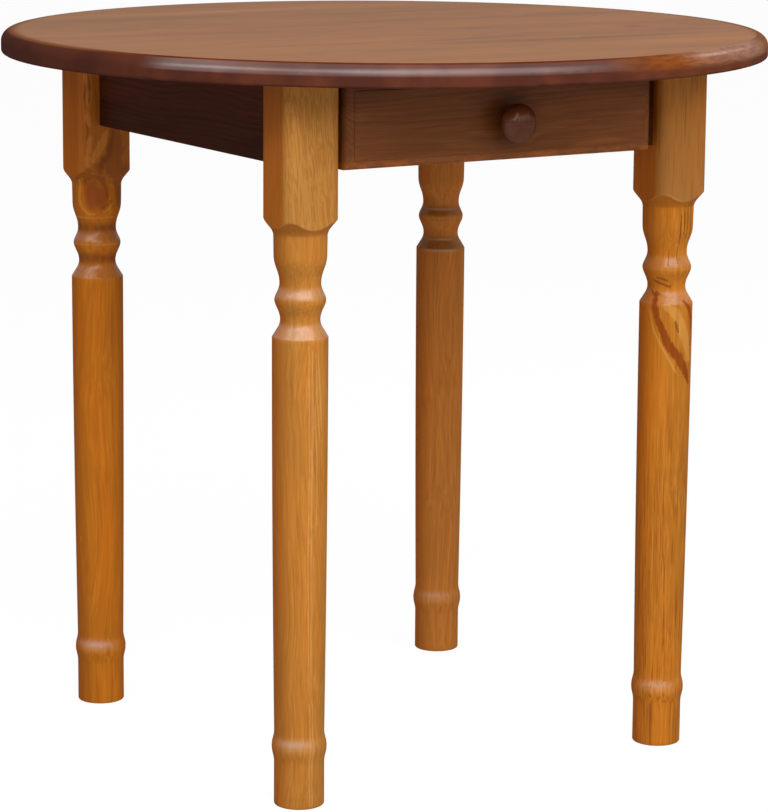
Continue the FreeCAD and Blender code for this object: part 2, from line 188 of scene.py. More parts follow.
def remap(tree, value, low, high, out_low=0.0, out_high=1.0, smooth=True):
    """Maps low..high to out_low..out_high, clamped, with soft ends unless smooth is off."""
    node = add_node(tree, "ShaderNodeMapRange", value=value, from_min=low, from_max=high,
                    to_min=out_low, to_max=out_high)
    node.interpolation_type = "SMOOTHSTEP" if smooth else "LINEAR"
    return node.outputs["Result"]


# %% Helpers: colours and noise


def blend_colour(tree, factor, first, second, mode="MIX"):
    """First colour where factor is 0, second (or the mode's result) where it is 1."""
    node = tree.nodes.new("ShaderNodeMix")
    node.data_type = "RGBA"
    node.blend_type = mode
    for number, value in ((0, factor), (6, first), (7, second)):
        feed(tree, node.inputs[number], value)
    return node.outputs[2]


def shade_by(tree, colour, level):
    """The colour times one level for red, green and blue."""
    grey = tree.nodes.new("ShaderNodeCombineColor")
    for socket in grey.inputs[:3]:
        feed(tree, socket, level)
    return blend_colour(tree, 1.0, colour, grey.outputs[0], "MULTIPLY")


def noise(tree, vector, waves, detail=2.0, roughness=0.5):
    """Soft noise with so many waves in a metre: one number, or one for each axis."""
    scale = waves
    if isinstance(waves, tuple):
        vector = vector_calc(tree, "MULTIPLY", vector, waves)
        scale = 1.0
    node = add_node(tree, "ShaderNodeTexNoise", vector=vector, scale=scale, detail=detail,
                    roughness=roughness)
    return node.outputs["Fac"]


# %% Helpers: groups and materials


def new_group(name, inputs, outputs):
    """A node group with typed inputs and outputs, given as (name, socket type, default)."""
    group = bpy.data.node_groups.new(name, "ShaderNodeTree")
    for title, kind, default in inputs:
        socket = group.interface.new_socket(name=title, in_out="INPUT", socket_type=kind)
        if default is not None:
            socket.default_value = default
    for title, kind in outputs:
        group.interface.new_socket(name=title, in_out="OUTPUT", socket_type=kind)
    start = group.nodes.new("NodeGroupInput")
    end = group.nodes.new("NodeGroupOutput")
    return group, start.outputs, end.inputs


def new_material(name):
    """A material and its tree of nodes, with a Principled shader in it."""
    material = bpy.data.materials.new(name)
    material.use_nodes = True
    return material, material.node_tree


def finish(node, material):
    """Puts one material on a CAD node."""
    data = nodes[node].data
    data.materials.clear()
    data.materials.append(material)


# %% [markdown]
# ## Light
# Soft studio light on the camera's side: one wide lamp stands in front and above, a long low
# strip carries it on round the left, and a weak lamp fills the right. Small hard lamps would
# give points of light; lamps this wide draw the pale bands of gloss along the rim and on the
# upper sides of the beads.

# %% Lamps
TABLE_MIDDLE = Vector((0.0, 0.0, 0.45))
SKY_COLOUR = (0.95, 0.97, 1.0)
LAMPS = (
    # name, azimuth and elevation in degrees, distance and size in metres, watts, colour
    ("sky_lamp", -6, 40, 3.3, (3.8, 2.4), 126, SKY_COLOUR),
    ("side_strip", -68, 40, 3.3, (3.2, 0.8), 30, SKY_COLOUR),
    ("fill_lamp", 100, 34, 3.6, (0.9, 0.9), 11, WHITE),
)


def lamp(name, azimuth, elevation, distance, size, watts, colour):
    """A soft rectangular lamp aimed at the table; azimuth 0 is in front, 90 is on the right."""
    turn = math.radians(azimuth)
    lift = math.radians(elevation)
    offset = Vector((math.sin(turn) * math.cos(lift), -math.cos(turn) * math.cos(lift), math.sin(lift)))
    data = bpy.data.lights.new(name, "AREA")
    data.shape = "RECTANGLE"
    data.size, data.size_y = size
    data.energy = watts
    data.color = colour
    light = bpy.data.objects.new(name, data)
    light.location = TABLE_MIDDLE + offset * distance
    light.rotation_mode = "QUATERNION"
    light.rotation_quaternion = (-offset).to_track_quat("-Z", "Y")
    bpy.context.scene.collection.objects.link(light)


for lamp_values in LAMPS:
    lamp(*lamp_values)
print("lamps:", len(LAMPS), "with", sum(values[5] for values in LAMPS), "watts")

# %% [markdown]
# ## Sky and floor
# The sky is white where it is seen or mirrored, and weaker where it only lights the wood. The
# floor is a pale sheet that takes the table's soft shadow, and it glows white where it is seen.
# A stronger lamp would whiten both too, but it would bleach the wood with them.

# %% World and floor
WORLD_LIGHT = 0.27
FLOOR_COLOUR = (0.62, 0.62, 0.62)
FLOOR_GLOW = 0.88
GLOW_STRENGTH = 1.08
FLOOR_REACH = 30.0
FLOOR_HEIGHT = -0.0004


def seen_directly(tree):
    """1 for camera, glossy and transmission rays, and 0 for the rays that light the table."""
    path = tree.nodes.new("ShaderNodeLightPath").outputs
    either = calc(tree, "MAXIMUM", path["Is Camera Ray"], path["Is Glossy Ray"])
    return calc(tree, "MAXIMUM", either, path["Is Transmission Ray"])


def make_world():
    """White where it is seen directly or in a reflection, softer where it lights the table."""
    world = bpy.data.worlds.new("studio")
    bpy.context.scene.world = world
    world.use_nodes = True
    tree = world.node_tree
    tree.nodes.clear()
    strength = remap(tree, seen_directly(tree), 0.0, 1.0, WORLD_LIGHT, 1.0, smooth=False)
    background = add_node(tree, "ShaderNodeBackground", color=WHITE, strength=strength)
    add_node(tree, "ShaderNodeOutputWorld", surface=background.outputs[0])


def make_floor():
    """A large flat sheet just under the feet, part glowing white where it is seen."""
    mesh = bpy.data.meshes.new("floor")
    turns = ((-1, -1), (1, -1), (1, 1), (-1, 1))
    corners = [(x * FLOOR_REACH, y * FLOOR_REACH, FLOOR_HEIGHT) for x, y in turns]
    mesh.from_pydata(corners, [], [(0, 1, 2, 3)])
    floor = bpy.data.objects.new("floor", mesh)
    bpy.context.scene.collection.objects.link(floor)
    material, tree = new_material("floor_sheet")
    tree.nodes.clear()
    sheet = add_node(tree, "ShaderNodeBsdfDiffuse", color=FLOOR_COLOUR)
    glow = add_node(tree, "ShaderNodeEmission", color=WHITE, strength=GLOW_STRENGTH)
    mix = add_node(tree, "ShaderNodeMixShader", fac=times(tree, seen_directly(tree), FLOOR_GLOW))
    feed(tree, mix.inputs[1], sheet.outputs[0])
    feed(tree, mix.inputs[2], glow.outputs[0])
    add_node(tree, "ShaderNodeOutputMaterial", surface=mix.outputs[0])
    mesh.materials.append(material)


make_world()
make_floor()
bpy.context.scene.view_settings.view_transform = "Standard"
print("world light:", WORLD_LIGHT, "floor:", 2 * FLOOR_REACH, "m square")

# %% [markdown]
# ## The figure of wood
# A tree's rings are shells round its pith. Wherever a board is cut, its surface shows where
# it crosses those shells: straight lines on one face, long pointed loops on another and arcs
# on the end grain. So the figure is a solid pattern, which a flat picture of wood can't follow
# round a leg. The distance from the pith line, divided by the width of a ring, gives the ring
# number, and its fraction runs from the pale early wood to the dark late wood. Slow noise
# makes the pith line wander, and a knot lifts the shells round a point.

# %% Parts of the figure
FLOAT = "NodeSocketFloat"
VECTOR = "NodeSocketVector"
# Waves in a metre, across the grain (X and Y) and along it (Z).
DRIFT_WAVES = (9.0, 9.0, 3.5)
RIPPLE_WAVES = (60.0, 60.0, 9.0)
FIBRE_WAVES = (700.0, 700.0, 11.0)
HAIR_WAVES = (300.0, 300.0, 9.0)
TONE_WAVES = (22.0, 22.0, 2.4)
ELSEWHERE = (7.3, 2.1, 4.7)
DRIFT_REACH = 4.0
RIPPLE_SHARE = 0.35
KNOT_RAGGED = 0.9
KNOT_STEEPNESS = 0.5
# Shares of a ring: the dark late wood comes in over the first, and ends within the second.
LATE_WOOD = (0.05, 0.80)
RING_END = (0.84, 1.0)
WEAKEST_RING = 0.35


def wandering(tree, vector, wander):
    """The vector pushed across the grain by two slow noises, by up to twice wander each way."""
    slow = vector_calc(tree, "MULTIPLY", vector, DRIFT_WAVES)
    drift_x = less(tree, noise(tree, slow, 1.0), 0.5)
    drift_y = less(tree, noise(tree, vector_calc(tree, "ADD", slow, ELSEWHERE), 1.0), 0.5)
    wide = times(tree, wander, DRIFT_REACH)
    drift = add_node(tree, "ShaderNodeCombineXYZ", x=times(tree, drift_x, wide),
                     y=times(tree, drift_y, wide))
    return vector_calc(tree, "ADD", vector, drift.outputs[0])


def knot_distance(tree, vector, ripple, inp):
    """Distance from the knot in its own radii, squeezed along the grain, with a ragged edge."""
    from_knot = vector_calc(tree, "SUBTRACT", vector, inp["Knot Centre"])
    along = calc(tree, "DIVIDE", 1.0, inp["Knot Stretch"])
    squeeze = add_node(tree, "ShaderNodeCombineXYZ", x=1.0, y=1.0, z=along)
    near = calc(tree, "DIVIDE", length_of(tree, from_knot, squeeze.outputs[0]), inp["Knot Radius"])
    return plus(tree, near, times(tree, ripple, KNOT_RAGGED))


def ring_shade(tree, distance, ring_width):
    """Dark in the late part of each ring, and each ring as strong as its own chance says."""
    ring = calc(tree, "DIVIDE", distance, ring_width)
    part = calc(tree, "FRACT", ring)
    chance = tree.nodes.new("ShaderNodeTexWhiteNoise")
    chance.noise_dimensions = "1D"
    feed(tree, chance.inputs["W"], calc(tree, "FLOOR", ring))
    strength = remap(tree, chance.outputs["Value"], 0.0, 1.0, WEAKEST_RING, 1.0, smooth=False)
    return times(tree, remap(tree, part, *LATE_WOOD), remap(tree, part, *RING_END, 1.0, 0.0), strength)


# %% Node group: wood figure


def build_wood_figure():
    """Grain runs along the vector's Z. Each output is a mask from 0 to 1."""
    tree, inp, out = new_group(
        "wood_figure",
        [
            ("Vector", VECTOR, None),
            ("Pith", VECTOR, (0.05, 0.05, 0.0)),
            ("Ring Width", FLOAT, 0.003),
            ("Wander", FLOAT, 0.004),
            ("Knot Centre", VECTOR, (0.0, 0.0, -9.0)),
            ("Knot Radius", FLOAT, 0.012),
            ("Knot Lift", FLOAT, 0.012),
            ("Knot Stretch", FLOAT, 1.6),
        ],
        [("Rings", FLOAT), ("Fibre", FLOAT), ("Hair", FLOAT), ("Tone", FLOAT), ("Knot", FLOAT)],
    )
    ripple = less(tree, noise(tree, inp["Vector"], RIPPLE_WAVES, 1.0), 0.5)
    vector = wandering(tree, inp["Vector"], inp["Wander"])
    across, deep, _ = parts_of(tree, vector_calc(tree, "SUBTRACT", vector, inp["Pith"]))
    radius = calc(tree, "SQRT", plus(tree, times(tree, across, across), times(tree, deep, deep)))
    ragged = knot_distance(tree, vector, ripple, inp)
    lift = times(tree, soft_hill(tree, ragged, KNOT_STEEPNESS), inp["Knot Lift"])
    uneven = times(tree, ripple, times(tree, inp["Wander"], RIPPLE_SHARE))
    masks = {
        "Rings": ring_shade(tree, plus(tree, radius, lift, uneven), inp["Ring Width"]),
        "Fibre": remap(tree, noise(tree, vector, FIBRE_WAVES, 3.0, 0.6), 0.3, 0.72),
        "Hair": remap(tree, noise(tree, vector, HAIR_WAVES, 2.0, 0.7), 0.32, 0.68),
        "Tone": remap(tree, noise(tree, vector, TONE_WAVES), 0.28, 0.72),
        "Knot": remap(tree, ragged, 0.35, 0.95, 1.0, 0.0),
    }
    for title, mask in masks.items():
        feed(tree, out[title], mask)
    return tree


wood_figure = build_wood_figure()
print("group:", wood_figure.name, "with", len(wood_figure.nodes), "nodes")

# %% [markdown]
# ## Varnished wood
# Stain sinks deeper into the soft early wood of pine, and varnish lies over it all as a thin
# clear film. One function builds every wood finish of the table. It mixes a pale and a dark
# colour by the rings, shades them by slow changes of tone and by fine fibres, darkens the
# knots and lays marks over them: marks of wear, and painted shade, sheen and reflections.
# The film is a coat of high index and small weight, so that it shines nearly alike from every
# side, as thin old varnish does.

# %% Colour of the wood
GRAIN_TURNS = {
    "x": (0.0, -math.pi / 2, 0.0),
    "y": (math.pi / 2, 0.0, 0.0),
    "z": (0.0, 0.0, 0.0),
}
KNOT_DEPTH = 0.75


def grain_vector(tree, grain):
    """Object coordinates turned so that the grain runs along Z."""
    turn = add_node(tree, "ShaderNodeMapping", vector=object_place(tree), rotation=GRAIN_TURNS[grain])
    turn.vector_type = "TEXTURE"
    return turn.outputs["Vector"]


def attribute(tree, name):
    """A mask that travels with the mesh."""
    node = tree.nodes.new("ShaderNodeAttribute")
    node.attribute_name = name
    return node.outputs["Fac"]


def figured_colour(tree, figure, pale, dark, blush, contrast, hair, tone, fibre):
    """Pale early wood, blushed by the slow tone, and dark along the rings and hairlines."""
    rings = times(tree, figure["Rings"], contrast)
    darker = plus(tree, rings, times(tree, figure["Hair"], hair), clamp=True)
    if blush:
        pale = blend_colour(tree, figure["Tone"], pale, blush)
    colour = blend_colour(tree, darker, pale, dark)
    shade = remap(tree, figure["Tone"], 0.0, 1.0, 1.0 - tone, 1.0 + tone, smooth=False)
    streak = remap(tree, figure["Fibre"], 0.0, 1.0, 1.0 - fibre, 1.0 + fibre * 0.5, smooth=False)
    return shade_by(tree, colour, times(tree, shade, streak))


# %% Marks and pores
TORN_WAVES = (260.0, 260.0, 110.0)
TORN_REACH = 0.30
TORN_EDGE = (0.30, 0.62)
SOFT_THROUGH = 0.6
TORN_THROUGH = 0.8
SWAY_WAVES = (40.0, 40.0, 30.0)
PORE_WAVES = (720.0, 720.0, 16.0)
PORE_EDGE = 0.09


def paint_marks(tree, colour, vector, figure, marks):
    """Lays (attribute, colour, strength, ragged) marks over the colour; hairlines show through.

    A ragged mark has noise added to its mask before its edge is cut, so the edge is torn.
    """
    if any(ragged for *_, ragged in marks):
        torn = noise(tree, vector, TORN_WAVES, 5.0, 0.75)
        torn = remap(tree, torn, 0.3, 0.7, -TORN_REACH, TORN_REACH, smooth=False)
    for mark, mark_colour, strength, ragged in marks:
        mask = attribute(tree, mark)
        if ragged:
            mask = remap(tree, plus(tree, mask, torn), *TORN_EDGE)
        through = TORN_THROUGH if ragged else SOFT_THROUGH
        covered = remap(tree, figure["Hair"], 0.0, 1.0, 1.0, through)
        amount = times(tree, times(tree, mask, strength, clamp=True), covered)
        colour = blend_colour(tree, amount, colour, mark_colour)
    return colour


def open_pores(tree, colour, vector, mask, pore_colour, strength, slant, sway, rarity):
    """Fine dark lines that a plane has opened, slanted in degrees and swaying in metres."""
    slanted = add_node(tree, "ShaderNodeMapping", vector=vector, rotation=(0.0, math.radians(slant), 0.0))
    wave = times(tree, noise(tree, vector, SWAY_WAVES, 1.0), sway)
    waving = vector_calc(tree, "ADD", slanted.outputs["Vector"], wave)
    lines = remap(tree, noise(tree, waving, PORE_WAVES, 2.0, 0.6), rarity, rarity + PORE_EDGE)
    amount = times(tree, lines, times(tree, attribute(tree, mask), strength))
    return blend_colour(tree, amount, colour, pore_colour)


# %% The film of varnish
VARNISH_INDEX = 2.0
ROUGHNESS_SPREAD = (-0.04, 0.05)
RING_RELIEF = 0.7
FIBRE_RELIEF = 0.3
RELIEF_DEPTH = 0.0004


def varnish_film(tree, figure, roughness, specular, coat, coat_roughness, bump, shine):
    """Sets the gloss and the relief; shine is (attribute, coat weight where it is 1)."""
    inputs = tree.nodes[PRINCIPLED].inputs
    rough = [roughness + spread for spread in ROUGHNESS_SPREAD]
    feed(tree, inputs["Roughness"], remap(tree, figure["Fibre"], 0.0, 1.0, *rough, smooth=False))
    weight = coat
    if shine:
        mask, full_coat = shine
        weight = plus(tree, coat, times(tree, attribute(tree, mask), full_coat - coat), clamp=True)
    feed(tree, inputs["Coat Weight"], weight)
    inputs["Specular IOR Level"].default_value = specular
    inputs["Coat Roughness"].default_value = coat_roughness
    inputs["Coat IOR"].default_value = VARNISH_INDEX
    rings = times(tree, figure["Rings"], RING_RELIEF)
    height = plus(tree, rings, times(tree, figure["Fibre"], FIBRE_RELIEF))
    relief = add_node(tree, "ShaderNodeBump", strength=bump, distance=RELIEF_DEPTH, height=height)
    feed(tree, inputs["Normal"], relief.outputs["Normal"])


# %% Function: varnished wood


def varnished_wood(name, pale, dark, grain, pith, ring_width, contrast, wander=0.004, hair=0.3, blush=None,
                   tone=0.2, fibre=0.15, knot=None, knot_colour=None, marks=(), pores=None, roughness=0.4,
                   specular=0.0, coat=0.0, coat_roughness=0.2, bump=0.15, shine=None):
    """Wood under varnish. Pith is where the rings' middle lies, across the grain in metres.

    Knot holds the group's four knot inputs, and pores holds the last values of open_pores.
    Marks of no strength are left out.
    """
    material, tree = new_material(name)
    vector = grain_vector(tree, grain)
    figure = add_node(tree, "ShaderNodeGroup", wood_figure, vector=vector, pith=(*pith, 0.0),
                      ring_width=ring_width, wander=wander, **(knot or {})).outputs
    colour = figured_colour(tree, figure, pale, dark, blush, contrast, hair, tone, fibre)
    if knot:
        colour = blend_colour(tree, times(tree, figure["Knot"], KNOT_DEPTH), colour, knot_colour)
    colour = paint_marks(tree, colour, vector, figure, [mark for mark in marks if mark[2] > 0.0])
    if pores:
        colour = open_pores(tree, colour, vector, *pores)
    feed(tree, tree.nodes[PRINCIPLED].inputs["Base Color"], colour)
    varnish_film(tree, figure, roughness, specular, coat, coat_roughness, bump, shine)
    return material


# %% [markdown]
# ## Skins over rings
# Legs, the knob, the drawer's front and the boards of the frame are all closed skins: a ring
# of points is carried along the piece and changes its size on the way. Working the rings out
# as one array keeps the shape exact, and the rings can follow a crease, which a voxel or
# subdivided shape would blur.

# %% Function: a closed skin
CREASE = math.radians(32.0)


def skin(name, rings, first_pole, last_pole, masks=None):
    """A mesh over rings[ring, place, xyz], closed round each ring and by a fan at each end.

    Neighbouring rings share quads: (i, j), (i+1, j), (i+1, j+1), (i, j+1), with j taken
    round the ring. The signed volume, a sixth of the sum of p0 . (p1 x p2) over the
    triangles, tells whether the faces point outwards, and they are turned round if not.
    Each mask holds one value for each point of the rings, and is 0 at both poles.
    """
    count, places = rings.shape[:2]
    points = np.concatenate([rings.reshape(-1, 3), [first_pole], [last_pole]])
    index = np.arange(count * places).reshape(count, places)
    across = np.roll(index, -1, axis=1)
    quads = np.stack([index[:-1], index[1:], across[1:], across[:-1]], axis=-1).reshape(-1, 4)
    first = np.full(places, count * places)
    fans = np.concatenate([
        np.stack([first, index[0], across[0]], axis=-1),
        np.stack([first + 1, across[-1], index[-1]], axis=-1),
    ])
    triangles = np.concatenate([quads[:, [0, 1, 2]], quads[:, [0, 2, 3]], fans])
    corners = points[triangles]
    volume = np.einsum("ij,ij->i", corners[:, 0], np.cross(corners[:, 1], corners[:, 2])).sum() / 6.0
    if volume < 0:
        quads = quads[:, ::-1]
        fans = fans[:, ::-1]
    mesh = bpy.data.meshes.new(name)
    mesh.from_pydata(points.tolist(), [], quads.tolist() + fans.tolist())
    mesh.shade_smooth()
    mesh.set_sharp_from_angle(angle=CREASE)
    for mask, values in (masks or {}).items():
        layer = mesh.attributes.new(mask, "FLOAT", "POINT")
        layer.data.foreach_set("value", np.concatenate([values.ravel(), [0.0, 0.0]]).astype(np.float32))
    piece = bpy.data.objects.new(name, mesh)
    bpy.context.scene.collection.objects.link(piece)
    print("%-18s %6d faces, %7.1f cm3" % (name, len(mesh.polygons), abs(volume) * 1e6))
    return piece


def dress(piece, material, body, slot, *stands_for):
    """Gives a new piece its material and body, and hides the CAD nodes it stands for; slot is not used."""
    piece.data.materials.append(material)
    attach(piece, body)
    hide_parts(*stands_for)


# %% [markdown]
# ## Legs: the profile
# A leg is turned from a square length of wood. Near its top it stays square, with its long
# corners well rounded. Below that the lathe has cut a sloping shoulder, a cove, a short vase,
# a bead between two necks, a cone and the long shaft, and near the floor a ring and a foot.
# The profile is a list of radius and height, drawn from the shoulder down. Curves with the
# axis as their tangent join the narrow and the wide places, as a turner's gouge does.

# %% Curves for a profile


def straight(start, end, count):
    """Points from start to end in equal steps, without the start."""
    part = np.linspace(0.0, 1.0, count + 1)[1:, None]
    return np.asarray(start) * (1 - part) + np.asarray(end) * part


def curve(poles, count):
    """A Bezier curve: the poles weighted by the Bernstein polynomials, without the start."""
    part = np.linspace(0.0, 1.0, count + 1)[1:, None]
    order = len(poles) - 1
    total = 0.0
    for number, pole in enumerate(poles):
        weight = math.comb(order, number) * part**number * (1 - part) ** (order - number)
        total = total + weight * np.asarray(pole)
    return total


def swell(start, end, count, leave=0.42, arrive=0.42):
    """A cubic curve that leaves and arrives parallel to the axis."""
    rise = end[1] - start[1]
    return curve([start, (start[0], start[1] + leave * rise), (end[0], end[1] - arrive * rise), end], count)


# %% The leg's shoulder and cove
LEG_HALF = 0.030
LEG_CORNER = 0.013
LEG_TOP = 0.727
BLOCK_END = 0.593
SHOULDER_SLOPE = math.radians(40.0)
SHOULDER_REACH = (LEG_HALF - LEG_CORNER) * math.sqrt(2.0) + LEG_CORNER + 0.0015
COVE_RADIUS = 0.016
COVE_END = math.radians(12.0)
VASE_TOP_RADIUS = 0.0265


def cove_arc(count):
    """The cove under the shoulder, from the shoulder's slope to the crease over the vase."""
    centre_radius = VASE_TOP_RADIUS + COVE_RADIUS * math.cos(COVE_END)
    top_radius = centre_radius - COVE_RADIUS * math.cos(SHOULDER_SLOPE)
    top = BLOCK_END - (SHOULDER_REACH - top_radius) / math.tan(SHOULDER_SLOPE)
    centre = top - COVE_RADIUS * math.sin(SHOULDER_SLOPE)
    angle = np.linspace(SHOULDER_SLOPE, COVE_END, count)
    radius = centre_radius - COVE_RADIUS * np.cos(angle)
    return np.stack([radius, centre + COVE_RADIUS * np.sin(angle)], axis=-1)


# %% The profile from the cove to the floor
# Radius, and how far the point lies below the one before it.
VASE_FOOT = (0.0262, 0.0199)
UPPER_NECK = (0.0204, 0.0280)
BEAD = (0.0253, 0.0163)
LOWER_NECK = (0.0197, 0.0194)
CONE_MEET = (0.0197, 0.0042)
CONE_CORNER = (0.0277, 0.0174)
CONE_STRAIGHT = 0.7
SHAFT_MIDDLE_RADIUS = 0.02755
# Radius, and height above the floor.
SHAFT_FOOT = (0.0251, 0.0770)
FOOT_RING = (0.0275, 0.0605)
FOOT_TOP = (0.0252, 0.0440)
FOOT_LOW = (0.0252, 0.0020)
FOOT_ROUND = 0.0020


def below(point, step):
    """The point at a radius and so far under another."""
    return np.array([step[0], point[1] - step[1]])


def leg_profile():
    """Radius and height down the leg, and the height of the bead."""
    cove = cove_arc(12)
    vase_top = cove[-1]
    vase_foot = below(vase_top, VASE_FOOT)
    upper_neck = below(vase_foot, UPPER_NECK)
    bead = below(upper_neck, BEAD)
    lower_neck = below(bead, LOWER_NECK)
    corner = below(lower_neck, CONE_CORNER)
    cone_meet = below(lower_neck, CONE_MEET)
    cone_end = corner + CONE_STRAIGHT * (cone_meet - corner)
    shaft_middle = (SHAFT_MIDDLE_RADIUS, (corner[1] + SHAFT_FOOT[1]) / 2)
    angle = np.linspace(0.0, math.pi / 2, 6)[1:]
    foot_round = np.stack([
        FOOT_LOW[0] - FOOT_ROUND + FOOT_ROUND * np.cos(angle),
        FOOT_LOW[1] - FOOT_ROUND * np.sin(angle),
    ], axis=-1)
    return np.concatenate([
        cove,
        straight(vase_top, vase_foot, 8),
        swell(vase_foot, upper_neck, 22),
        swell(upper_neck, bead, 14, arrive=0.30),
        swell(bead, lower_neck, 16, leave=0.30),
        curve([lower_neck, cone_meet, cone_end], 7),
        straight(cone_end, corner, 9),
        curve([corner, shaft_middle, SHAFT_FOOT], 130),
        swell(SHAFT_FOOT, FOOT_RING, 14),
        swell(FOOT_RING, FOOT_TOP, 14),
        straight(FOOT_TOP, FOOT_LOW, 16),
        foot_round,
    ]), bead[1]


profile, bead_height = leg_profile()
VASE_TOP = cove_arc(2)[-1][1]
print("profile points:", len(profile), "bead at", round(bead_height, 4))

# %% [markdown]
# ## Legs: the surface
# The surface has two parameters: the angle round the leg, and the way down it. Down to the
# shoulder, the distance from the axis is that of a rounded square. The shoulder's cone meets
# that square in four arches. Cutting one solid with the other would give the same arches with
# untidy triangles, so the rings of points follow the arches instead, and their edges stay
# crisp.

# %% The leg's surface
LEG_PLACES = 176
BLOCK_RINGS = 24
BLOCK_RINGS_END = 0.006
# Steps down to the arch: height above it, and how far the skin has come in.
ARCH_STEPS = ((0.0020, 0.0), (0.0007, 0.0), (0.0002, 0.00006), (0.0, 0.00016))
SHOULDER_PARTS = (0.06, 0.2, 0.4, 0.6, 0.8, 0.96)
SHOULDER_GAP = 0.0002


def rounded_square(angle):
    """Distance from the axis to a square with rounded corners, in a direction.

    Folded into one eighth, the flat side is half / cos. Past the flat's end it is the far
    crossing of the ray with the corner circle: b + sqrt(b^2 - 2 f^2 + r^2), where f is the
    circle's centre and b is its distance along the ray.
    """
    cosine = np.maximum(abs(np.cos(angle)), abs(np.sin(angle)))
    sine = np.minimum(abs(np.cos(angle)), abs(np.sin(angle)))
    flat = LEG_HALF / cosine
    centre = LEG_HALF - LEG_CORNER
    along = centre * (cosine + sine)
    corner = along + np.sqrt(np.maximum(along**2 - 2 * centre**2 + LEG_CORNER**2, 0.0))
    return np.where(flat * sine <= centre, flat, corner)


leg_angle = np.linspace(0.0, 2 * math.pi, LEG_PLACES, endpoint=False)
leg_square = rounded_square(leg_angle)
leg_arch = BLOCK_END - (SHOULDER_REACH - leg_square) / math.tan(SHOULDER_SLOPE)


def leg_rings():
    """Radius and height of every point of a leg: block, arch, shoulder and then the profile."""
    rings = []
    for height in np.linspace(LEG_TOP, BLOCK_END + BLOCK_RINGS_END, BLOCK_RINGS):
        rings.append((leg_square, np.full_like(leg_angle, height)))
    for above, inward in ARCH_STEPS:
        rings.append((leg_square - inward, leg_arch + above))
    cove_top = np.minimum(profile[0][1], leg_arch - SHOULDER_GAP)
    for part in SHOULDER_PARTS:
        height = leg_arch + (cove_top - leg_arch) * part
        radius = SHOULDER_REACH - (BLOCK_END - height) * math.tan(SHOULDER_SLOPE)
        rings.append((np.minimum(radius, leg_square), height))
    for radius, height in profile[1:]:
        rings.append((np.full_like(leg_angle, radius), np.full_like(leg_angle, height)))
    return np.array(rings).swapaxes(0, 1)


leg_radius, leg_height = leg_rings()
leg_azimuth = np.degrees(np.arctan2(np.cos(leg_angle), -np.sin(leg_angle)))
print("rings:", leg_radius.shape)

# %% [markdown]
# ## Masks on a leg
# Hands and cloths change a table's finish by place: ridges are worn pale, and a planed face shows
# its pores. Other masks paint light and shade into the colour: painted shade in the cove, in the
# necks, under the overhang, on the lower planed face and on the sides away from the light, a painted
# reflection on one leg's upper slopes, and painted sheen and highlights on the upper slopes, the
# bead, the cone and the foot's ring. Each of these is a mask: one number from 0 to 1 for each point
# of the leg, worked out from the point's height and azimuth, which travels with the mesh into its
# material. Painting them by hand would do too, but a formula fits all four legs. Azimuth 0 faces -Y,
# and it grows towards +X.

# %% Tools for masks


def bump_of(distance, width):
    """A soft hill: exp of minus the squared distance over the width."""
    return np.exp(-(distance / width) ** 2)


def slope_of(value, low, high):
    """A straight rise from 0 at low to 1 at high."""
    return np.clip((value - low) / (high - low), 0.0, 1.0)


def spot_of(height, spread, azimuth, width):
    """A soft spot at a height in metres and an azimuth in degrees, each with its spread."""
    return bump_of(leg_height - height, spread) * bump_of(leg_azimuth - azimuth, width)


# %% Masks of the block
# Azimuths and heights between which a mask rises from 0 to 1.
PLANED_EDGE = (62.0, 54.0)
LOW_FACE = (0.690, 0.620)
UNDER_TOP = (0.700, 0.724)
UNDER_TOP_PLANED = 0.8
RED_BLOCK = (55.0, 63.0)
RED_SHAFT = (52.0, 92.0)
RED_FADE = (90.0, 60.0)


def planed_mask():
    """1 on the block's flat face towards -Y."""
    face = slope_of(np.abs(leg_azimuth), *PLANED_EDGE)
    return np.where(leg_height > leg_arch - 0.001, face, 0.0)


def low_face_shade_mask():
    """Painted shade: 1 on the lower part of the block's planed face, which stands clear of the top's real
    shadow and is painted darker.
    """
    return planed_mask() * slope_of(leg_height, *LOW_FACE)


def overhang_shade_mask():
    """Painted shade: 1 at the block's top end, under the overhang, less so on the planed face."""
    return slope_of(leg_height, *UNDER_TOP) * (1.0 - UNDER_TOP_PLANED * planed_mask())


def shaded_side_mask():
    """Painted shade: 1 on the side towards -X, which is painted darker and redder."""
    block = slope_of(-leg_azimuth, *RED_BLOCK)
    shaft = slope_of(-leg_azimuth, *RED_SHAFT)
    away = slope_of(np.abs(leg_azimuth + 90.0), *RED_FADE)
    return np.where(leg_height > leg_arch, block, shaft) * away


# %% Masks of the turning
# Necks and gleams are given as rises above the bead's ridge, in metres.
RECESS_TOP = 0.0015
RECESS_FOOT = 0.0020
UPPER_TILT = (6.0, 24.0)
UPPER_LOWEST = 0.1
NECKS = (0.0175, -0.0155)
NECK_SPREAD = 0.0060
GLEAMS = (0.0094, -0.0255, -0.0368)
GLEAM_SPREADS = (0.0010, -30.0, 38.0)
DIM_SIDE = (8.0, 58.0)
DIM_FADE = (150.0, 110.0)


def recess_shade_mask():
    """Painted shade: 1 in the cove between the arches and the vase."""
    under_arch = slope_of(leg_arch - leg_height, 0.0, RECESS_TOP)
    return under_arch * slope_of(leg_height - VASE_TOP, 0.0, RECESS_FOOT)


def upper_mask():
    """1 where the turned skin leans back to face upwards, and 0 where it is upright."""
    lean = np.gradient(leg_radius, axis=0) / np.minimum(np.gradient(leg_height, axis=0), -1e-5)
    tilt = np.degrees(np.arctan(-lean))
    turned = (leg_height < VASE_TOP) & (leg_height > UPPER_LOWEST)
    return np.where(turned, slope_of(tilt, *UPPER_TILT), 0.0)


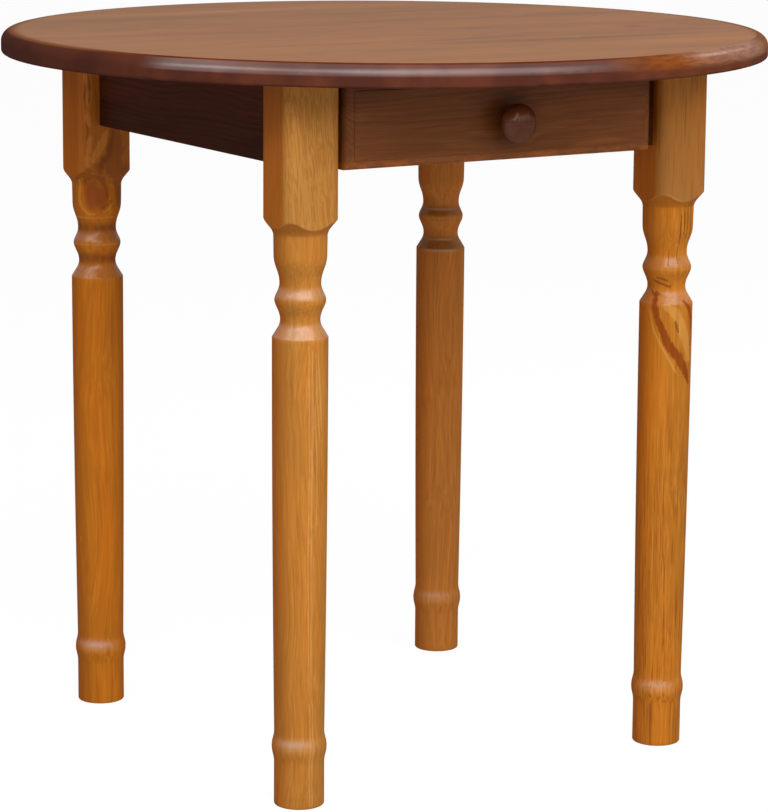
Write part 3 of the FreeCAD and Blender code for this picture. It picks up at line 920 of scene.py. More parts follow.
def neck_shade_mask():
    """Painted shade: 1 in the two hollows above and below the bead."""
    return sum(bump_of(leg_height - bead_height - rise, NECK_SPREAD) for rise in NECKS)


def gleam_mask():
    """Painted highlights: 1 along three thin lines on the bead, the cone and the cone's corner, on the
    front.
    """
    return sum(spot_of(bead_height + rise, *GLEAM_SPREADS) for rise in GLEAMS)


def dim_side_mask():
    """Painted shade: 1 on the turned part's side towards +X."""
    away = slope_of(leg_azimuth, *DIM_SIDE) * slope_of(leg_azimuth, *DIM_FADE)
    return np.where(leg_height < VASE_TOP, away, 0.0)


# %% All masks that every leg has
# A spot is a height and its spread in metres, and an azimuth and its spread in degrees.
ARCH_EDGE_SPOT = (leg_arch, 0.0008, -22.0, 24.0)
RING_SHINE_SPOT = (0.0675, 0.0042, -38.0, 36.0)
RING_FOOT_SPOT = (0.0612, 0.0028, -34.0, 44.0)
BEAD_SPREAD = 0.0011
RING_GLOSS = 3.2

LEG_MASKS = {
    "planed": planed_mask(),
    "low_face_shade": low_face_shade_mask(),
    "overhang_shade": overhang_shade_mask(),
    "shaded_side": shaded_side_mask(),
    "recess_shade": recess_shade_mask(),
    "upper": upper_mask(),
    "necks": neck_shade_mask(),
    "gleams": gleam_mask(),
    "dim_side": dim_side_mask(),
    "bead": bump_of(leg_height - bead_height, BEAD_SPREAD),
    "edge": spot_of(*ARCH_EDGE_SPOT),
    # Painted sheen on the front of the foot's ring, and a painted highlight just under it.
    "ring": spot_of(*RING_SHINE_SPOT),
    "ring_foot_sheen": spot_of(*RING_FOOT_SPOT),
    "gloss": upper_mask() + RING_GLOSS * spot_of(*RING_SHINE_SPOT),
}
print("masks:", ", ".join(LEG_MASKS))

# %% [markdown]
# ## Marks along lines
# Cracks, resin streaks and the swirls round a knot are long and thin, and no two are alike.
# Each is drawn as a line on the unrolled leg, as one would draw it with a brush: a few
# points, with a width at each. The mask is a soft hill over the distance to the line.

# %% Function: marks along lines
UNROLL_RADIUS = 27.0


def line_mask(path, width):
    """A soft line along (azimuth in degrees, height in mm, width factor) points.

    The leg is unrolled at one radius in mm, and the distance is the least distance to any
    piece of the line.
    """
    round_leg = np.radians(leg_azimuth)[None, :] * UNROLL_RADIUS
    height = leg_height * 1000.0
    best = np.zeros_like(leg_radius)
    for (a0, z0, w0), (a1, z1, w1) in zip(path[:-1], path[1:]):
        x0, x1 = math.radians(a0) * UNROLL_RADIUS, math.radians(a1) * UNROLL_RADIUS
        dx, dz = x1 - x0, z1 - z0
        part = np.clip(((round_leg - x0) * dx + (height - z0) * dz) / (dx * dx + dz * dz), 0.0, 1.0)
        away = np.hypot(round_leg - x0 - part * dx, height - z0 - part * dz)
        best = np.maximum(best, bump_of(away, width * (w0 + (w1 - w0) * part)))
    return best


def lines_mask(lines):
    """The strongest of several lines at each point."""
    return np.max([line_mask(path, width) for width, path in lines], axis=0)


# %% [markdown]
# ## Legs: four sticks of pine
# Each leg comes from its own stick, so each has its own pith, its own tone and its own
# marks. The back left leg has a large knot just under its shoulder and a worn pale streak on
# its block. The front right leg has a red resin streak that runs down the shaft. One
# material for all four would be simpler and would look cast, not grown.

# %% Marks of the front right leg
# Marks are lines: (width in mm, ((azimuth in degrees, height in mm, width factor), ...)).
RIGHT_SCARS = (
    (4.4, ((-66, 487, 0.4), (-63.5, 478.6, 0.8), (-56, 461, 0.9), (-40.5, 446, 1.0), (-24, 430, 1.1),
           (-4.5, 419, 1.3), (15, 405, 1.1), (27, 392, 0.5))),
    (3.4, ((9.5, 478, 0.6), (26, 469, 1.0), (34, 459, 1.0), (39, 446, 0.8), (44, 428, 0.4))),
    (2.0, ((-84, 489, 0.5), (-72, 485, 1.0), (-60, 484, 0.6))),
)
RIGHT_LENS = (
    (6.0, ((-38, 474, 0.5), (-14, 466, 1.0), (4, 450, 1.1), (16, 434, 1.0), (28, 416, 0.5))),
    (1.3, ((-74, 470, 0.5), (-62, 448, 1.0), (-44, 432, 1.0), (-26, 417, 1.0), (-8, 402, 0.5))),
)
RIGHT_CRACKS = (
    (2.0, ((-15, 458, 0.6), (-12, 453, 1.0), (-7.5, 447, 0.6))),
    (1.5, ((-77, 500, 0.5), (-55.5, 496.8, 1.0), (-25, 493, 0.9))),
    (1.2, ((-66, 503, 0.4), (-44, 501, 0.9), (-30, 499, 0.4))),
    (1.2, ((-62, 488, 0.5), (-58, 486, 1.0), (-54, 485, 0.5))),
    (1.2, ((4, 579, 0.5), (6, 560, 1.0), (5, 548, 0.5))),
    (1.2, ((14, 580, 0.6), (16, 560, 1.0), (13, 544, 0.5))),
    (1.2, ((26, 580, 0.8), (27, 556, 1.0), (30, 540, 0.5))),
    (1.1, ((-4, 570, 0.5), (-5, 552, 1.0), (-4, 538, 0.5))),
    (1.2, ((-6, 535, 0.5), (-8, 518, 0.9))),
    (1.2, ((-30, 532, 0.5), (-33, 516, 0.9))),
)

# %% Marks of the back left leg
LEFT_SHADE = (
    (12.0, ((14, 640, 0.4), (14, 615, 0.8), (2, 600, 0.9), (22, 590, 1.0), (36, 575, 0.9), (38, 558, 0.5))),
)
LEFT_SWIRLS = (
    (3.4, ((10, 632, 0.4), (0, 609, 1.0), (-22, 598, 1.0), (-45, 590, 0.9), (-71, 584, 0.6))),
    (2.8, ((-58, 574, 0.4), (-50, 583, 0.8), (-34, 587, 1.0), (-15, 583, 1.0), (-4, 573, 0.9),
           (0, 560, 0.5))),
    (1.4, ((-14, 551, 0.4), (-2, 555, 1.0), (10, 559, 0.6))),
)
LEFT_PALE = (
    (2.2, ((-66, 581, 0.5), (-70, 571, 1.0), (-72, 560, 1.0), (-64, 551, 1.0), (-48, 545, 0.9),
           (-30, 545, 0.5))),
    (1.8, ((-10, 547, 0.5), (4, 550, 1.0), (14, 556, 0.5))),
    (5.0, ((-4, 636, 0.4), (-18, 618, 0.9), (-32, 605, 0.6))),
    (0.9, ((-95, 540.5, 0.8), (-31, 540.2, 1.0), (25, 540.5, 0.8))),
)
LEFT_WORN = (
    (3.0, ((-45, 700, 0.5), (-43, 687, 1.0))),
    (2.6, ((-38, 678, 0.8), (-40, 664, 1.0))),
    (3.2, ((-42, 652, 1.0), (-38, 641, 0.6))),
    (2.4, ((-36, 630, 0.8), (-39, 617, 1.0))),
    (2.6, ((-41, 609, 0.7), (-42, 600, 0.9))),
    (1.3, ((-78, 189.0, 0.8), (-78, 184.5, 0.8))),
)
LEFT_CRACKS = (
    (1.1, ((-40, 698, 0.5), (-37, 682, 1.0), (-38, 664, 0.5))),
    (1.0, ((-44, 690, 0.4), (-46, 672, 0.9), (-44, 658, 0.4))),
    (1.0, ((-43, 648, 0.4), (-41, 636, 0.9), (-43, 622, 0.4))),
    (0.9, ((-52, 712, 0.5), (-34, 714, 0.9), (-26, 711, 0.4))),
)

# %% Pale lines of the front left leg
NEAR_PALE = (
    (1.2, ((-4, 465, 0.4), (-3, 400, 1.0), (-5, 310, 0.9), (-4, 210, 0.9), (-3, 110, 0.5))),
    (1.1, ((4, 462, 0.4), (6, 430, 1.0), (11, 392, 1.0), (16, 372, 0.6))),
    (1.1, ((9, 464, 0.4), (13, 436, 1.0), (18, 405, 1.0), (20, 385, 0.5))),
    (1.1, ((2, 410, 0.4), (6, 370, 1.0), (8, 340, 1.0), (8, 290, 0.5))),
    (1.1, ((-12, 470, 0.5), (-10, 360, 0.8), (-12, 250, 0.8), (-10, 150, 0.5))),
    (1.2, ((-7, 110, 0.6), (-5, 70, 1.0), (-7, 40, 1.0), (-5, 4, 0.8))),
    (1.1, ((1, 110, 0.6), (3, 70, 1.0), (0, 40, 1.0), (2, 4, 0.8))),
)

# %% Colours of the legs
RESIN_RED = (0.23, 0.040, 0.003)
RESIN_PALE = (0.66, 0.33, 0.075)
CRACK_BROWN = (0.10, 0.025, 0.003)
# Pale of wear on the bead and the arches' edges, and a painted highlight under the foot's ring.
WEAR_AND_SHEEN_PALE = (0.62, 0.31, 0.10)
# Painted shade in the cove under the arches.
RECESS_SHADE = (0.27, 0.072, 0.006)
SHADED_DARK = (0.22, 0.075, 0.010)
# Painted shade for the sides of the legs that the light doesn't reach.
SHADED_SIDE_RED = (0.37, 0.084, 0.004)
FACE_GOLD = (0.54, 0.245, 0.056)
FACE_BROWN = (0.41, 0.168, 0.042)
FACE_RED = (0.57, 0.160, 0.027)
KNOT_RED = (0.27, 0.055, 0.014)
SHADE_BROWN = (0.20, 0.050, 0.010)
SWIRL_BROWN = (0.17, 0.040, 0.006)
SWIRL_PALE = (0.66, 0.24, 0.035)
WORN_ORANGE = (0.64, 0.245, 0.050)
PORE_BROWN = (0.30, 0.100, 0.014)
PORE_DARK = (0.19, 0.054, 0.007)
LINE_PALE = (0.74, 0.43, 0.15)
# Painted sheen in grey, on the upper slopes and on the foot's ring.
SHEEN_GREY = (0.43, 0.27, 0.185)
GLEAM_PALE = (0.62, 0.42, 0.30)
# Share of the face colour that the painted shade on the lower face keeps.
LOW_FACE_SHADE_SHARE = 0.66

# %% What the four legs share, and what each has of its own
# Face is the planed face's colour. Face_strength, bead and edge say how strongly the wear of that
# place shows; ring says how strong the painted sheen on the foot's ring is, dim_side and necks the
# painted shade on the far side and in the necks, and gleams the painted highlights on the bead and
# cone. Upper_sheen is painted sheen in grey on the upper slopes, and dark_reflection is a painted
# reflection of the dark underside there. Coat is the varnish's weight on those slopes. The last line
# holds the values of the pores, and low_pores is their share on the lower shaft.
LEG_VALUES = dict(
    face=FACE_BROWN, face_strength=0.0, bead=0.0, edge=0.0, ring=0.4, dim_side=0.0, necks=0.0, gleams=0.0,
    upper_sheen=0.14, dark_reflection=0.0, coat=0.32, tone=0.18, knot=None, marks=(),
    pore_colour=PORE_BROWN, pore=0.5, slant=0.0, sway=0.0006, rarity=0.47, low_pores=0.3,
)
LEGS = {
    "leg_front_left": dict(
        pale=(0.505, 0.218, 0.041), blush=(0.475, 0.172, 0.025), dark=(0.33, 0.104, 0.009),
        pith=(-0.16, -0.33), face=FACE_GOLD, face_strength=0.78, edge=0.7, upper_sheen=0.22, coat=0.36,
        slant=6.0, sway=0.006,
        marks=(("pale_lines", NEAR_PALE, LINE_PALE, 0.26),),
    ),
    "leg_front_right": dict(
        pale=(0.58, 0.212, 0.023), blush=(0.53, 0.168, 0.012), dark=(0.37, 0.092, 0.005),
        pith=(0.30, -0.30), face_strength=0.8, bead=0.25, edge=0.6, ring=0.5, coat=0.24,
        pore_colour=PORE_DARK, rarity=0.545, low_pores=1.35,
        marks=(
            ("lens", RIGHT_LENS, RESIN_PALE, 0.42),
            ("scars", RIGHT_SCARS, RESIN_RED, 0.95),
            ("cracks", RIGHT_CRACKS, CRACK_BROWN, 0.68),
        ),
    ),
    "leg_back_left": dict(
        pale=(0.63, 0.215, 0.016), blush=(0.52, 0.150, 0.008), dark=(0.36, 0.080, 0.004),
        pith=(-0.31, 0.16), face=FACE_RED, face_strength=0.6, bead=0.5, ring=0.55, dim_side=0.9,
        necks=0.85, coat=0.34, tone=0.24, pore=0.2,
        knot=dict(knot_centre=(-0.2408, 0.2020, 0.5655), knot_radius=0.0200, knot_lift=0.02,
                  knot_stretch=1.3),
        marks=(
            ("shade", LEFT_SHADE, SHADE_BROWN, 0.58),
            ("swirls", LEFT_SWIRLS, SWIRL_BROWN, 0.55),
            ("glow", LEFT_PALE, SWIRL_PALE, 0.65),
            ("worn", LEFT_WORN, WORN_ORANGE, 0.5),
            ("cracks", LEFT_CRACKS, CRACK_BROWN, 0.6),
        ),
    ),
    "leg_back_right": dict(
        pale=(0.60, 0.218, 0.038), blush=(0.545, 0.175, 0.026), dark=(0.40, 0.104, 0.016),
        pith=(0.30, 0.31), bead=0.2, gleams=0.75, upper_sheen=0.0, dark_reflection=0.75, coat=0.16,
    ),
}


# %% The varnish of a leg
def leg_varnish(name, leg):
    """The leg's wood, with its wear and its painted light and shade laid on in this order and its own marks
    over that.
    """
    low_face_shade_colour = [LOW_FACE_SHADE_SHARE * value for value in leg["face"]]
    # Besides wear, this paints shade on the sides, in the cove, necks and low face and under the overhang, a
    # dark reflection and sheen on the upper slopes, highlights on bead and cone, and sheen on the ring.
    wear_and_light = [
        ("planed", leg["face"], leg["face_strength"]),
        ("low_face_shade", low_face_shade_colour, 0.52),
        ("dim_side", SHADED_SIDE_RED, leg["dim_side"]),
        ("shaded_side", SHADED_SIDE_RED, 0.85),
        ("recess_shade", RECESS_SHADE, 0.55),
        ("overhang_shade", SHADED_DARK, 0.40),
        ("upper", SHADED_DARK, leg["dark_reflection"]),
        ("necks", SHADE_BROWN, leg["necks"]),
        ("gleams", GLEAM_PALE, leg["gleams"]),
        ("upper", SHEEN_GREY, leg["upper_sheen"]),
        ("bead", WEAR_AND_SHEEN_PALE, leg["bead"]),
        ("edge", WEAR_AND_SHEEN_PALE, leg["edge"]),
        ("ring", SHEEN_GREY, leg["ring"]),
        ("ring_foot_sheen", WEAR_AND_SHEEN_PALE, 0.30),
    ]
    marks = [(*values, False) for values in wear_and_light]
    marks += [(mark, colour, strength, True) for mark, _, colour, strength in leg["marks"]]
    pores = ("pored", leg["pore_colour"], leg["pore"], leg["slant"], leg["sway"], leg["rarity"])
    return varnished_wood(
        name + "_varnish", leg["pale"], leg["dark"], "z", leg["pith"], ring_width=0.0055, contrast=0.24,
        wander=0.010, hair=0.34, blush=leg["blush"], tone=leg["tone"], fibre=0.16, knot=leg["knot"],
        knot_colour=KNOT_RED, marks=marks, pores=pores, coat=0.05, coat_roughness=0.28,
        shine=("gloss", leg["coat"]),
    )


# %% Make the legs
LOW_SHAFT = (0.46, 0.24)


def middle_of(node):
    """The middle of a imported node's box, and its size."""
    low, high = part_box(node)
    return (low + high) / 2, high - low


def make_leg(name, leg):
    """A leg's points are its middle + radius * (cos, sin) of the angle, at their heights."""
    middle, _ = middle_of(name)
    rings = np.stack([
        middle.x + leg_radius * np.cos(leg_angle),
        middle.y + leg_radius * np.sin(leg_angle),
        leg_height,
    ], axis=-1)
    low_shaft = slope_of(leg_height, *LOW_SHAFT) * leg["low_pores"]
    masks = {**LEG_MASKS, "pored": np.maximum(LEG_MASKS["planed"], low_shaft)}
    masks.update({mark: lines_mask(lines) for mark, lines, _, _ in leg["marks"]})
    top, foot = (middle.x, middle.y, LEG_TOP), (middle.x, middle.y, 0.0)
    piece = skin(name.replace("leg_", "turned_leg_"), rings, top, foot, masks)
    dress(piece, leg_varnish(name, leg), "table", "leg_wood", name)


for leg_name, own_values in LEGS.items():
    make_leg(leg_name, {**LEG_VALUES, **own_values})

# %% [markdown]
# ## Boards with softened edges
# Planed boards never keep a razor edge. A board here is a ring in the shape of its outline
# that is carried from the back face over the edge to the front face. A list of steps says how
# far in from the outline and how far forward each ring lies, so the same function makes a
# plain board with its edges eased and the drawer's front with its rounded edge and raised
# field. A Bevel modifier would ease a plain board too, but it can't raise a field.

# %% Function: a board's outline
SIDE_PLACES = 30
CORNER_PLACES = 5


def outline_ring(half_width, half_height, corner):
    """Points round a rectangle with rounded corners, about its own middle."""
    arcs = []
    for number, (side_x, side_z) in enumerate([(1, 1), (-1, 1), (-1, -1), (1, -1)]):
        angle = np.linspace(0.0, math.pi / 2, CORNER_PLACES) + number * math.pi / 2
        centre = np.array([side_x * (half_width - corner), side_z * (half_height - corner)])
        arcs.append(centre + corner * np.stack([np.cos(angle), np.sin(angle)], axis=-1))
    part = np.linspace(0.0, 1.0, SIDE_PLACES + 1)[1:-1, None]
    pieces = []
    for arc, following in zip(arcs, arcs[1:] + arcs[:1]):
        pieces += [arc, arc[-1] * (1 - part) + following[0] * part]
    return np.concatenate(pieces)


# %% Function: a board
BOARD_CORNER = 0.0008


def board(name, low, high, facing, steps, corner=BOARD_CORNER):
    """A board between two corners of a box; facing is "-y" or "-x", the side of its front.

    Each step is (inset, forward): how far the ring lies in from the outline, and how far
    forward of the back face, both in metres.
    """
    low = np.array(low)
    high = np.array(high)
    middle = (low + high) / 2
    half = (high - low) / 2
    flat, deep = (0, 1) if facing == "-y" else (1, 0)
    rings = []
    for inset, forward in steps:
        ring = outline_ring(half[flat] - inset, half[2] - inset, corner)
        points = np.zeros((len(ring), 3))
        points[:, flat] = middle[flat] + ring[:, 0]
        points[:, 2] = middle[2] + ring[:, 1]
        points[:, deep] = high[deep] - forward
        rings.append(points)
    back = middle.copy()
    front = middle.copy()
    back[deep] = high[deep] - steps[0][1]
    front[deep] = high[deep] - steps[-1][1]
    return skin(name, np.array(rings), tuple(back), tuple(front))


def eased_steps(thickness, radius, count=4):
    """Steps for a plain board whose edges are rounded with one radius at back and front."""
    angle = np.linspace(0.0, math.pi / 2, count + 1)
    back = [(radius * 2.5, 0.0)] + [(radius * (1 - math.sin(a)), radius * (1 - math.cos(a))) for a in angle]
    front = [(inset, thickness - forward) for inset, forward in reversed(back)]
    return back + front


# %% [markdown]
# ## The aprons
# The aprons are stained much darker than the legs, in a brown that hides most of the figure.
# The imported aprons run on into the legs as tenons, so a new board stands for each one only
# between the legs' blocks, where it shows. The front apron stays as it is, behind the
# drawer's front.

# %% Make the three plain aprons
APRON_PALE = (0.074, 0.0185, 0.0070)
APRON_DARK = (0.044, 0.0105, 0.0042)
APRON_VALUES = dict(ring_width=0.0045, contrast=0.6, wander=0.006, tone=0.3, coat=0.03, coat_roughness=0.35)
APRON_EASE = 0.0012

apron_material = varnished_wood("apron_stain", APRON_PALE, APRON_DARK, "x", (0.9, 0.5), **APRON_VALUES)
side_apron_material = varnished_wood("side_apron_stain", APRON_PALE, APRON_DARK, "y", (-0.4, 0.9),
                                     **APRON_VALUES)


def make_aprons():
    """The aprons' visible boards, from block to block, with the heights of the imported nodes."""
    _, front_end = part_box("leg_front_left")
    back_start, left_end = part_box("leg_back_left")
    right_start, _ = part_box("leg_back_right")
    for side in ("left", "right"):
        node = "apron_" + side
        low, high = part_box(node)
        low.y, high.y = front_end.y, back_start.y
        piece = board(side + "_apron_board", low, high, "-x", eased_steps(high.x - low.x, APRON_EASE))
        dress(piece, side_apron_material, "table", "apron_wood", node)
    low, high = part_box("apron_back")
    low.x, high.x = left_end.x, right_start.x
    piece = board("back_apron_board", low, high, "-y", eased_steps(high.y - low.y, APRON_EASE))
    dress(piece, apron_material, "table", "apron_wood", "apron_back")


make_aprons()

# %% [markdown]
# ## The drawer's front
# The front is a board laid over the opening. Its edge is rounded over all round, and inside
# the round a small step leaves the middle standing proud as a flat field, as a router leaves
# it. Its stain has painted shade under the overhang, a painted contact shadow with grime round
# the knob, where hands have been, and along the low edge wood rubbed through to orange with
# a painted reflection of the floor.

# %% Shape of the drawer's front
FRONT_ROUND = 0.0085
FRONT_STEP = 0.0010
FRONT_CORNER = 0.0015
# Steps of the back edge, and of the field's edge: (inset, forward), the second pair counted
# from the middle of the step and from the front face.
FRONT_BACK_EDGE = ((0.003, 0.0), (0.0006, 0.0), (0.0002, 0.0002), (0.0, 0.0008))
FIELD_EDGE = ((0.0001, -0.0003), (0.0004, 0.0), (0.0015, 0.0), (0.010, 0.0))


def front_steps(thickness):
    """Back face, eased back edge, edge, quarter round, step and field."""
    face = thickness - FRONT_STEP
    steps = list(FRONT_BACK_EDGE)
    for angle in np.linspace(0.0, math.pi / 2, 13):
        inset = FRONT_ROUND * (1 - math.cos(angle))
        steps.append((inset, face - FRONT_ROUND * (1 - math.sin(angle))))
    field = FRONT_ROUND + FRONT_STEP / 2
    steps.append((field - FIELD_EDGE[0][0], face))
    return steps + [(field + inset, thickness + forward) for inset, forward in FIELD_EDGE]


# %% Stain of the drawer's front
FRONT_PALE = (0.235, 0.076, 0.0225)
FRONT_DARK = (0.150, 0.046, 0.013)
FRONT_SHADED = (0.683, 0.722)
FRONT_SHADE = 0.42
# Painted contact shadow with grime round the knob's foot: its reach and its depth.
GRIME_AND_SHADOW_RADIUS = 0.030
GRIME_AND_SHADOW = 0.45
# Along the low edge, wood rubbed through to orange with a painted reflection of the floor.
FRONT_LOW_EDGE = (0.6480, 0.6405)
RUBBED_WAVES = 60.0
EDGE_WEAR_AND_SHEEN = (0.42, 0.115, 0.018)


def front_stain():
    """Dark stain with painted shade under the overhang, painted shadow and grime round the knob, and wear
    with a painted floor reflection at the low edge.
    """
    material = varnished_wood(
        "drawer_front_stain", FRONT_PALE, FRONT_DARK, "x", (0.66, -0.21), ring_width=0.0035, contrast=0.5,
        wander=0.008, coat=0.06, coat_roughness=0.25,
    )
    tree = material.node_tree
    base = tree.nodes[PRINCIPLED].inputs["Base Color"]
    place = object_place(tree)
    height = parts_of(tree, place)[2]
    shaded = remap(tree, height, *FRONT_SHADED, 0.0, FRONT_SHADE)
    knob, _ = middle_of("drawer_knob")
    from_knob = vector_calc(tree, "SUBTRACT", place, knob)
    away = calc(tree, "DIVIDE", length_of(tree, from_knob, (1.0, 0.0, 1.0)), GRIME_AND_SHADOW_RADIUS)
    grime_and_shadow = times(tree, soft_hill(tree, away), GRIME_AND_SHADOW)
    stain = shade_by(tree, base.links[0].from_socket,
                     times(tree, less(tree, 1.0, shaded), less(tree, 1.0, grime_and_shadow)))
    low_edge_wear_and_sheen = remap(tree, height, *reversed(FRONT_LOW_EDGE), 1.0, 0.0)
    patchy = remap(tree, noise(tree, place, RUBBED_WAVES), 0.4, 0.65, 0.15, 0.75)
    feed(tree, base, blend_colour(tree, times(tree, low_edge_wear_and_sheen, patchy), stain, EDGE_WEAR_AND_SHEEN))
    return material


# %% Make the drawer's front
front_low, front_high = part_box("drawer_front")
drawer_face = board("drawer_face_board", front_low, front_high, "-y",
                    front_steps(front_high.y - front_low.y), FRONT_CORNER)
dress(drawer_face, front_stain(), "drawer", "drawer_front_wood", "drawer_front")
print("drawer front:", np.round(front_low, 4), np.round(front_high, 4))

# %% [markdown]
# ## The knob
# The knob is turned too: a small foot against the drawer, a neck and a nearly round head. It
# is a profile carried round its own axis, which points out of the drawer. Its varnish is the
# glossiest on the table, and its head has light painted into its colour: a lit left cheek, a
# reflection and a glint.

# %% Shape of the knob
KNOB_PLACES = 96
# Radius and distance from the drawer's face, in metres.
KNOB_FOOT = ((0.0097, 0.0), (0.0100, 0.0003), (0.0100, 0.0025))
KNOB_NECK = (0.0075, 0.008)
KNOB_UNDERSIDE = ((0.0075, 0.0115), (0.0195, 0.0105))
KNOB_RIM = (0.0195, 0.018)
KNOB_CROWN = ((0.0195, 0.0254), (0.0117, 0.030), (0.0, 0.030))
KNOB_LENGTH = KNOB_CROWN[-1][1]
KNOB_HEAD = 0.016


def knob_profile():
    """Radius and distance from the drawer's face, from the foot to the crown."""
    return np.concatenate([
        np.array(KNOB_FOOT),
        swell(KNOB_FOOT[-1], KNOB_NECK, 10),
        curve([KNOB_NECK, *KNOB_UNDERSIDE, KNOB_RIM], 18),
        curve([KNOB_RIM, *KNOB_CROWN], 22)[:-1],
    ])


# %% Painted light and colours of the knob
KNOB_STAIN = ((0.165, 0.045, 0.016), (0.105, 0.027, 0.010))
KNOB_SHEEN_PALE = (0.300, 0.135, 0.080)
GLINT_PALE = (0.62, 0.42, 0.32)
# A stroke on the head: start and end to the right of and above the axis, and width, in mm;
# then its colour and strength.
# The three strokes are painted light: a lit left cheek, a painted reflection and a painted glint.
KNOB_STROKES = {
    "left_cheek": (((-16.0, 6.0), (-15.0, -7.0), 5.0), KNOB_SHEEN_PALE, 0.22),
    "patch": (((-6.0, 6.5), (3.5, 8.0), 3.2), KNOB_SHEEN_PALE, 0.75),
    "scuff": (((-7.0, 10.5), (-11.0, 5.0), 1.0), GLINT_PALE, 0.55),
}


def stroke(across, up, start, end, width):
    """A soft mark along a line: a hill over the distance to the nearest point of the line."""
    run = np.subtract(end, start)
    part = ((across - start[0]) * run[0] + (up - start[1]) * run[1]) / (run @ run)
    part = np.clip(part, 0.0, 1.0)
    away = np.hypot(across - start[0] - part * run[0], up - start[1] - part * run[1])
    return bump_of(away, width)


# %% Make the knob


def make_knob():
    """The knob's points are its axis + radius * (cos, sin) in X and Z, out along -Y."""
    middle, size = middle_of("drawer_knob")
    face = middle.y + size.y / 2
    radius, forward = knob_profile().T[:, :, None]
    angle = np.linspace(0.0, 2 * math.pi, KNOB_PLACES, endpoint=False)
    across = radius * np.cos(angle)
    up = radius * np.sin(angle)
    rings = np.stack([middle.x + across, face - forward + 0.0 * across, middle.z + up], axis=-1)
    head = forward > KNOB_HEAD
    masks = {
        name: np.where(head, stroke(across * 1000.0, up * 1000.0, *line), 0.0)
        for name, (line, _, _) in KNOB_STROKES.items()
    }
    ends = [(middle.x, face - reach, middle.z) for reach in (0.0, KNOB_LENGTH)]
    piece = skin("turned_knob", rings, *ends, masks)
    marks = [(name, colour, strength, False) for name, (_, colour, strength) in KNOB_STROKES.items()]
    material = varnished_wood("knob_stain", *KNOB_STAIN, "y", (0.05, -0.66), ring_width=0.0035, contrast=0.5,
                              marks=marks, coat=0.10, coat_roughness=0.12)
    dress(piece, material, "drawer", "knob_wood", "drawer_knob")


make_knob()

# %% [markdown]
# ## The top
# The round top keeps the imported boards: their outline is already true. It has been cut to a
# disc and its edge eased, then varnished in one go. Its varnish is thinner and duller than
# the legs' from years of wiping, and its rim, where hands and cloths don't rub, is darker and
# redder. One material covers all of it: two windows, the distance from the middle and the
# azimuth, say where the flat, the crest, the side and the patches of the rim lie. A material
# for each zone would be simpler, but would end in hard lines.

# %% Zones of the top
# Distances from the middle and heights in metres, between which each zone begins.
CREST_REACH = (0.3866, 0.3882)
SIDE_REACH = (0.3915, 0.3945)
SOFT_REACH = (0.3780, 0.3935)
UPPER_RIM = (0.733, 0.741)
PATCH_WAVES = 22.0
FLECK_WAVES = (55.0, 55.0, 380.0)
# Windows round the rim, by azimuth in degrees: start, full, fade, end.
BAND_WINDOW = (-68.0, -61.0, -2.0, 9.0)
GLINT_WINDOW = (13.0, 22.0, 36.0, 48.0)
ORANGE_WINDOW = (-2.0, 16.0, 40.0, 60.0)
FADED_WINDOW = (34.0, 46.0, 60.0, 75.0)
DULL_WINDOW = (-150.0, -125.0, -82.0, -70.0)
SOFT_WINDOW = (44.0, 66.0, 150.0, 170.0)


def window(tree, value, start, full, fade, end):
    """1 between full and fade, falling to 0 at start and at end."""
    return times(tree, remap(tree, value, start, full), remap(tree, value, fade, end, 1.0, 0.0))


def blend_value(tree, share, first, second):
    """first * (1 - share) + second * share."""
    return plus(tree, times(tree, first, less(tree, 1.0, share)), times(tree, second, share))


def top_zones(tree, place):
    """Masks of the top by name, and the azimuth in degrees and the height of each point."""
    x, y, height = parts_of(tree, place)
    reach = length_of(tree, place, (1.0, 1.0, 0.0))
    turn = calc(tree, "ARCTAN2", x, times(tree, y, -1.0))
    azimuth = times(tree, turn, 180.0 / math.pi)
    dull = window(tree, azimuth, *DULL_WINDOW)
    soft_ends = calc(tree, "MAXIMUM", dull, window(tree, azimuth, *SOFT_WINDOW))
    return dict(
        height=height,
        azimuth=azimuth,
        dull=dull,
        rim=blend_value(tree, soft_ends, remap(tree, reach, *CREST_REACH), remap(tree, reach, *SOFT_REACH)),
        side=remap(tree, reach, *SIDE_REACH),
        upper=remap(tree, height, *UPPER_RIM),
        patches=remap(tree, noise(tree, place, PATCH_WAVES, 3.0), 0.35, 0.65),
        flecks=remap(tree, noise(tree, place, FLECK_WAVES, 2.0, 0.55), 0.32, 0.66),
    )


# %% Colour of the flat
MARKS_DEPTH = 0.62
TOP_MARKS = (
    # middle x and y, half length and half width in metres, darkness (below 0 is paler)
    (0.130, -0.188, 0.130, 0.012, 0.55),
    (0.010, -0.178, 0.070, 0.009, 0.35),
    (0.020, -0.145, 0.060, 0.010, 0.25),
    (0.252, -0.094, 0.012, 0.008, 0.60),
    (0.095, -0.036, 0.040, 0.012, 0.35),
    (0.060, 0.080, 0.150, 0.020, 0.35),
    (0.280, 0.075, 0.090, 0.018, 0.25),
    (-0.160, 0.022, 0.040, 0.012, 0.30),
    (-0.150, -0.035, 0.110, 0.014, 0.20),
    (-0.200, 0.215, 0.140, 0.022, 0.30),
    (0.060, 0.195, 0.110, 0.020, 0.18),
    (0.000, 0.270, 0.220, 0.020, -0.35),
    (-0.030, 0.135, 0.060, 0.020, -0.30),
    (-0.100, -0.115, 0.060, 0.020, -0.25),
    (0.200, -0.255, 0.120, 0.025, -0.35),
    (0.300, 0.145, 0.050, 0.020, -0.30),
)


def long_marks(tree, place):
    """Sums soft ellipses, each exp of minus its squared distance in half lengths and widths."""
    total = 0.0
    for x, y, half_length, half_width, darkness in TOP_MARKS:
        offset = vector_calc(tree, "SUBTRACT", place, (x, y, 0.0))
        away = length_of(tree, offset, (1 / half_length, 1 / half_width, 0.0))
        total = plus(tree, total, times(tree, soft_hill(tree, away), darkness))
    return total


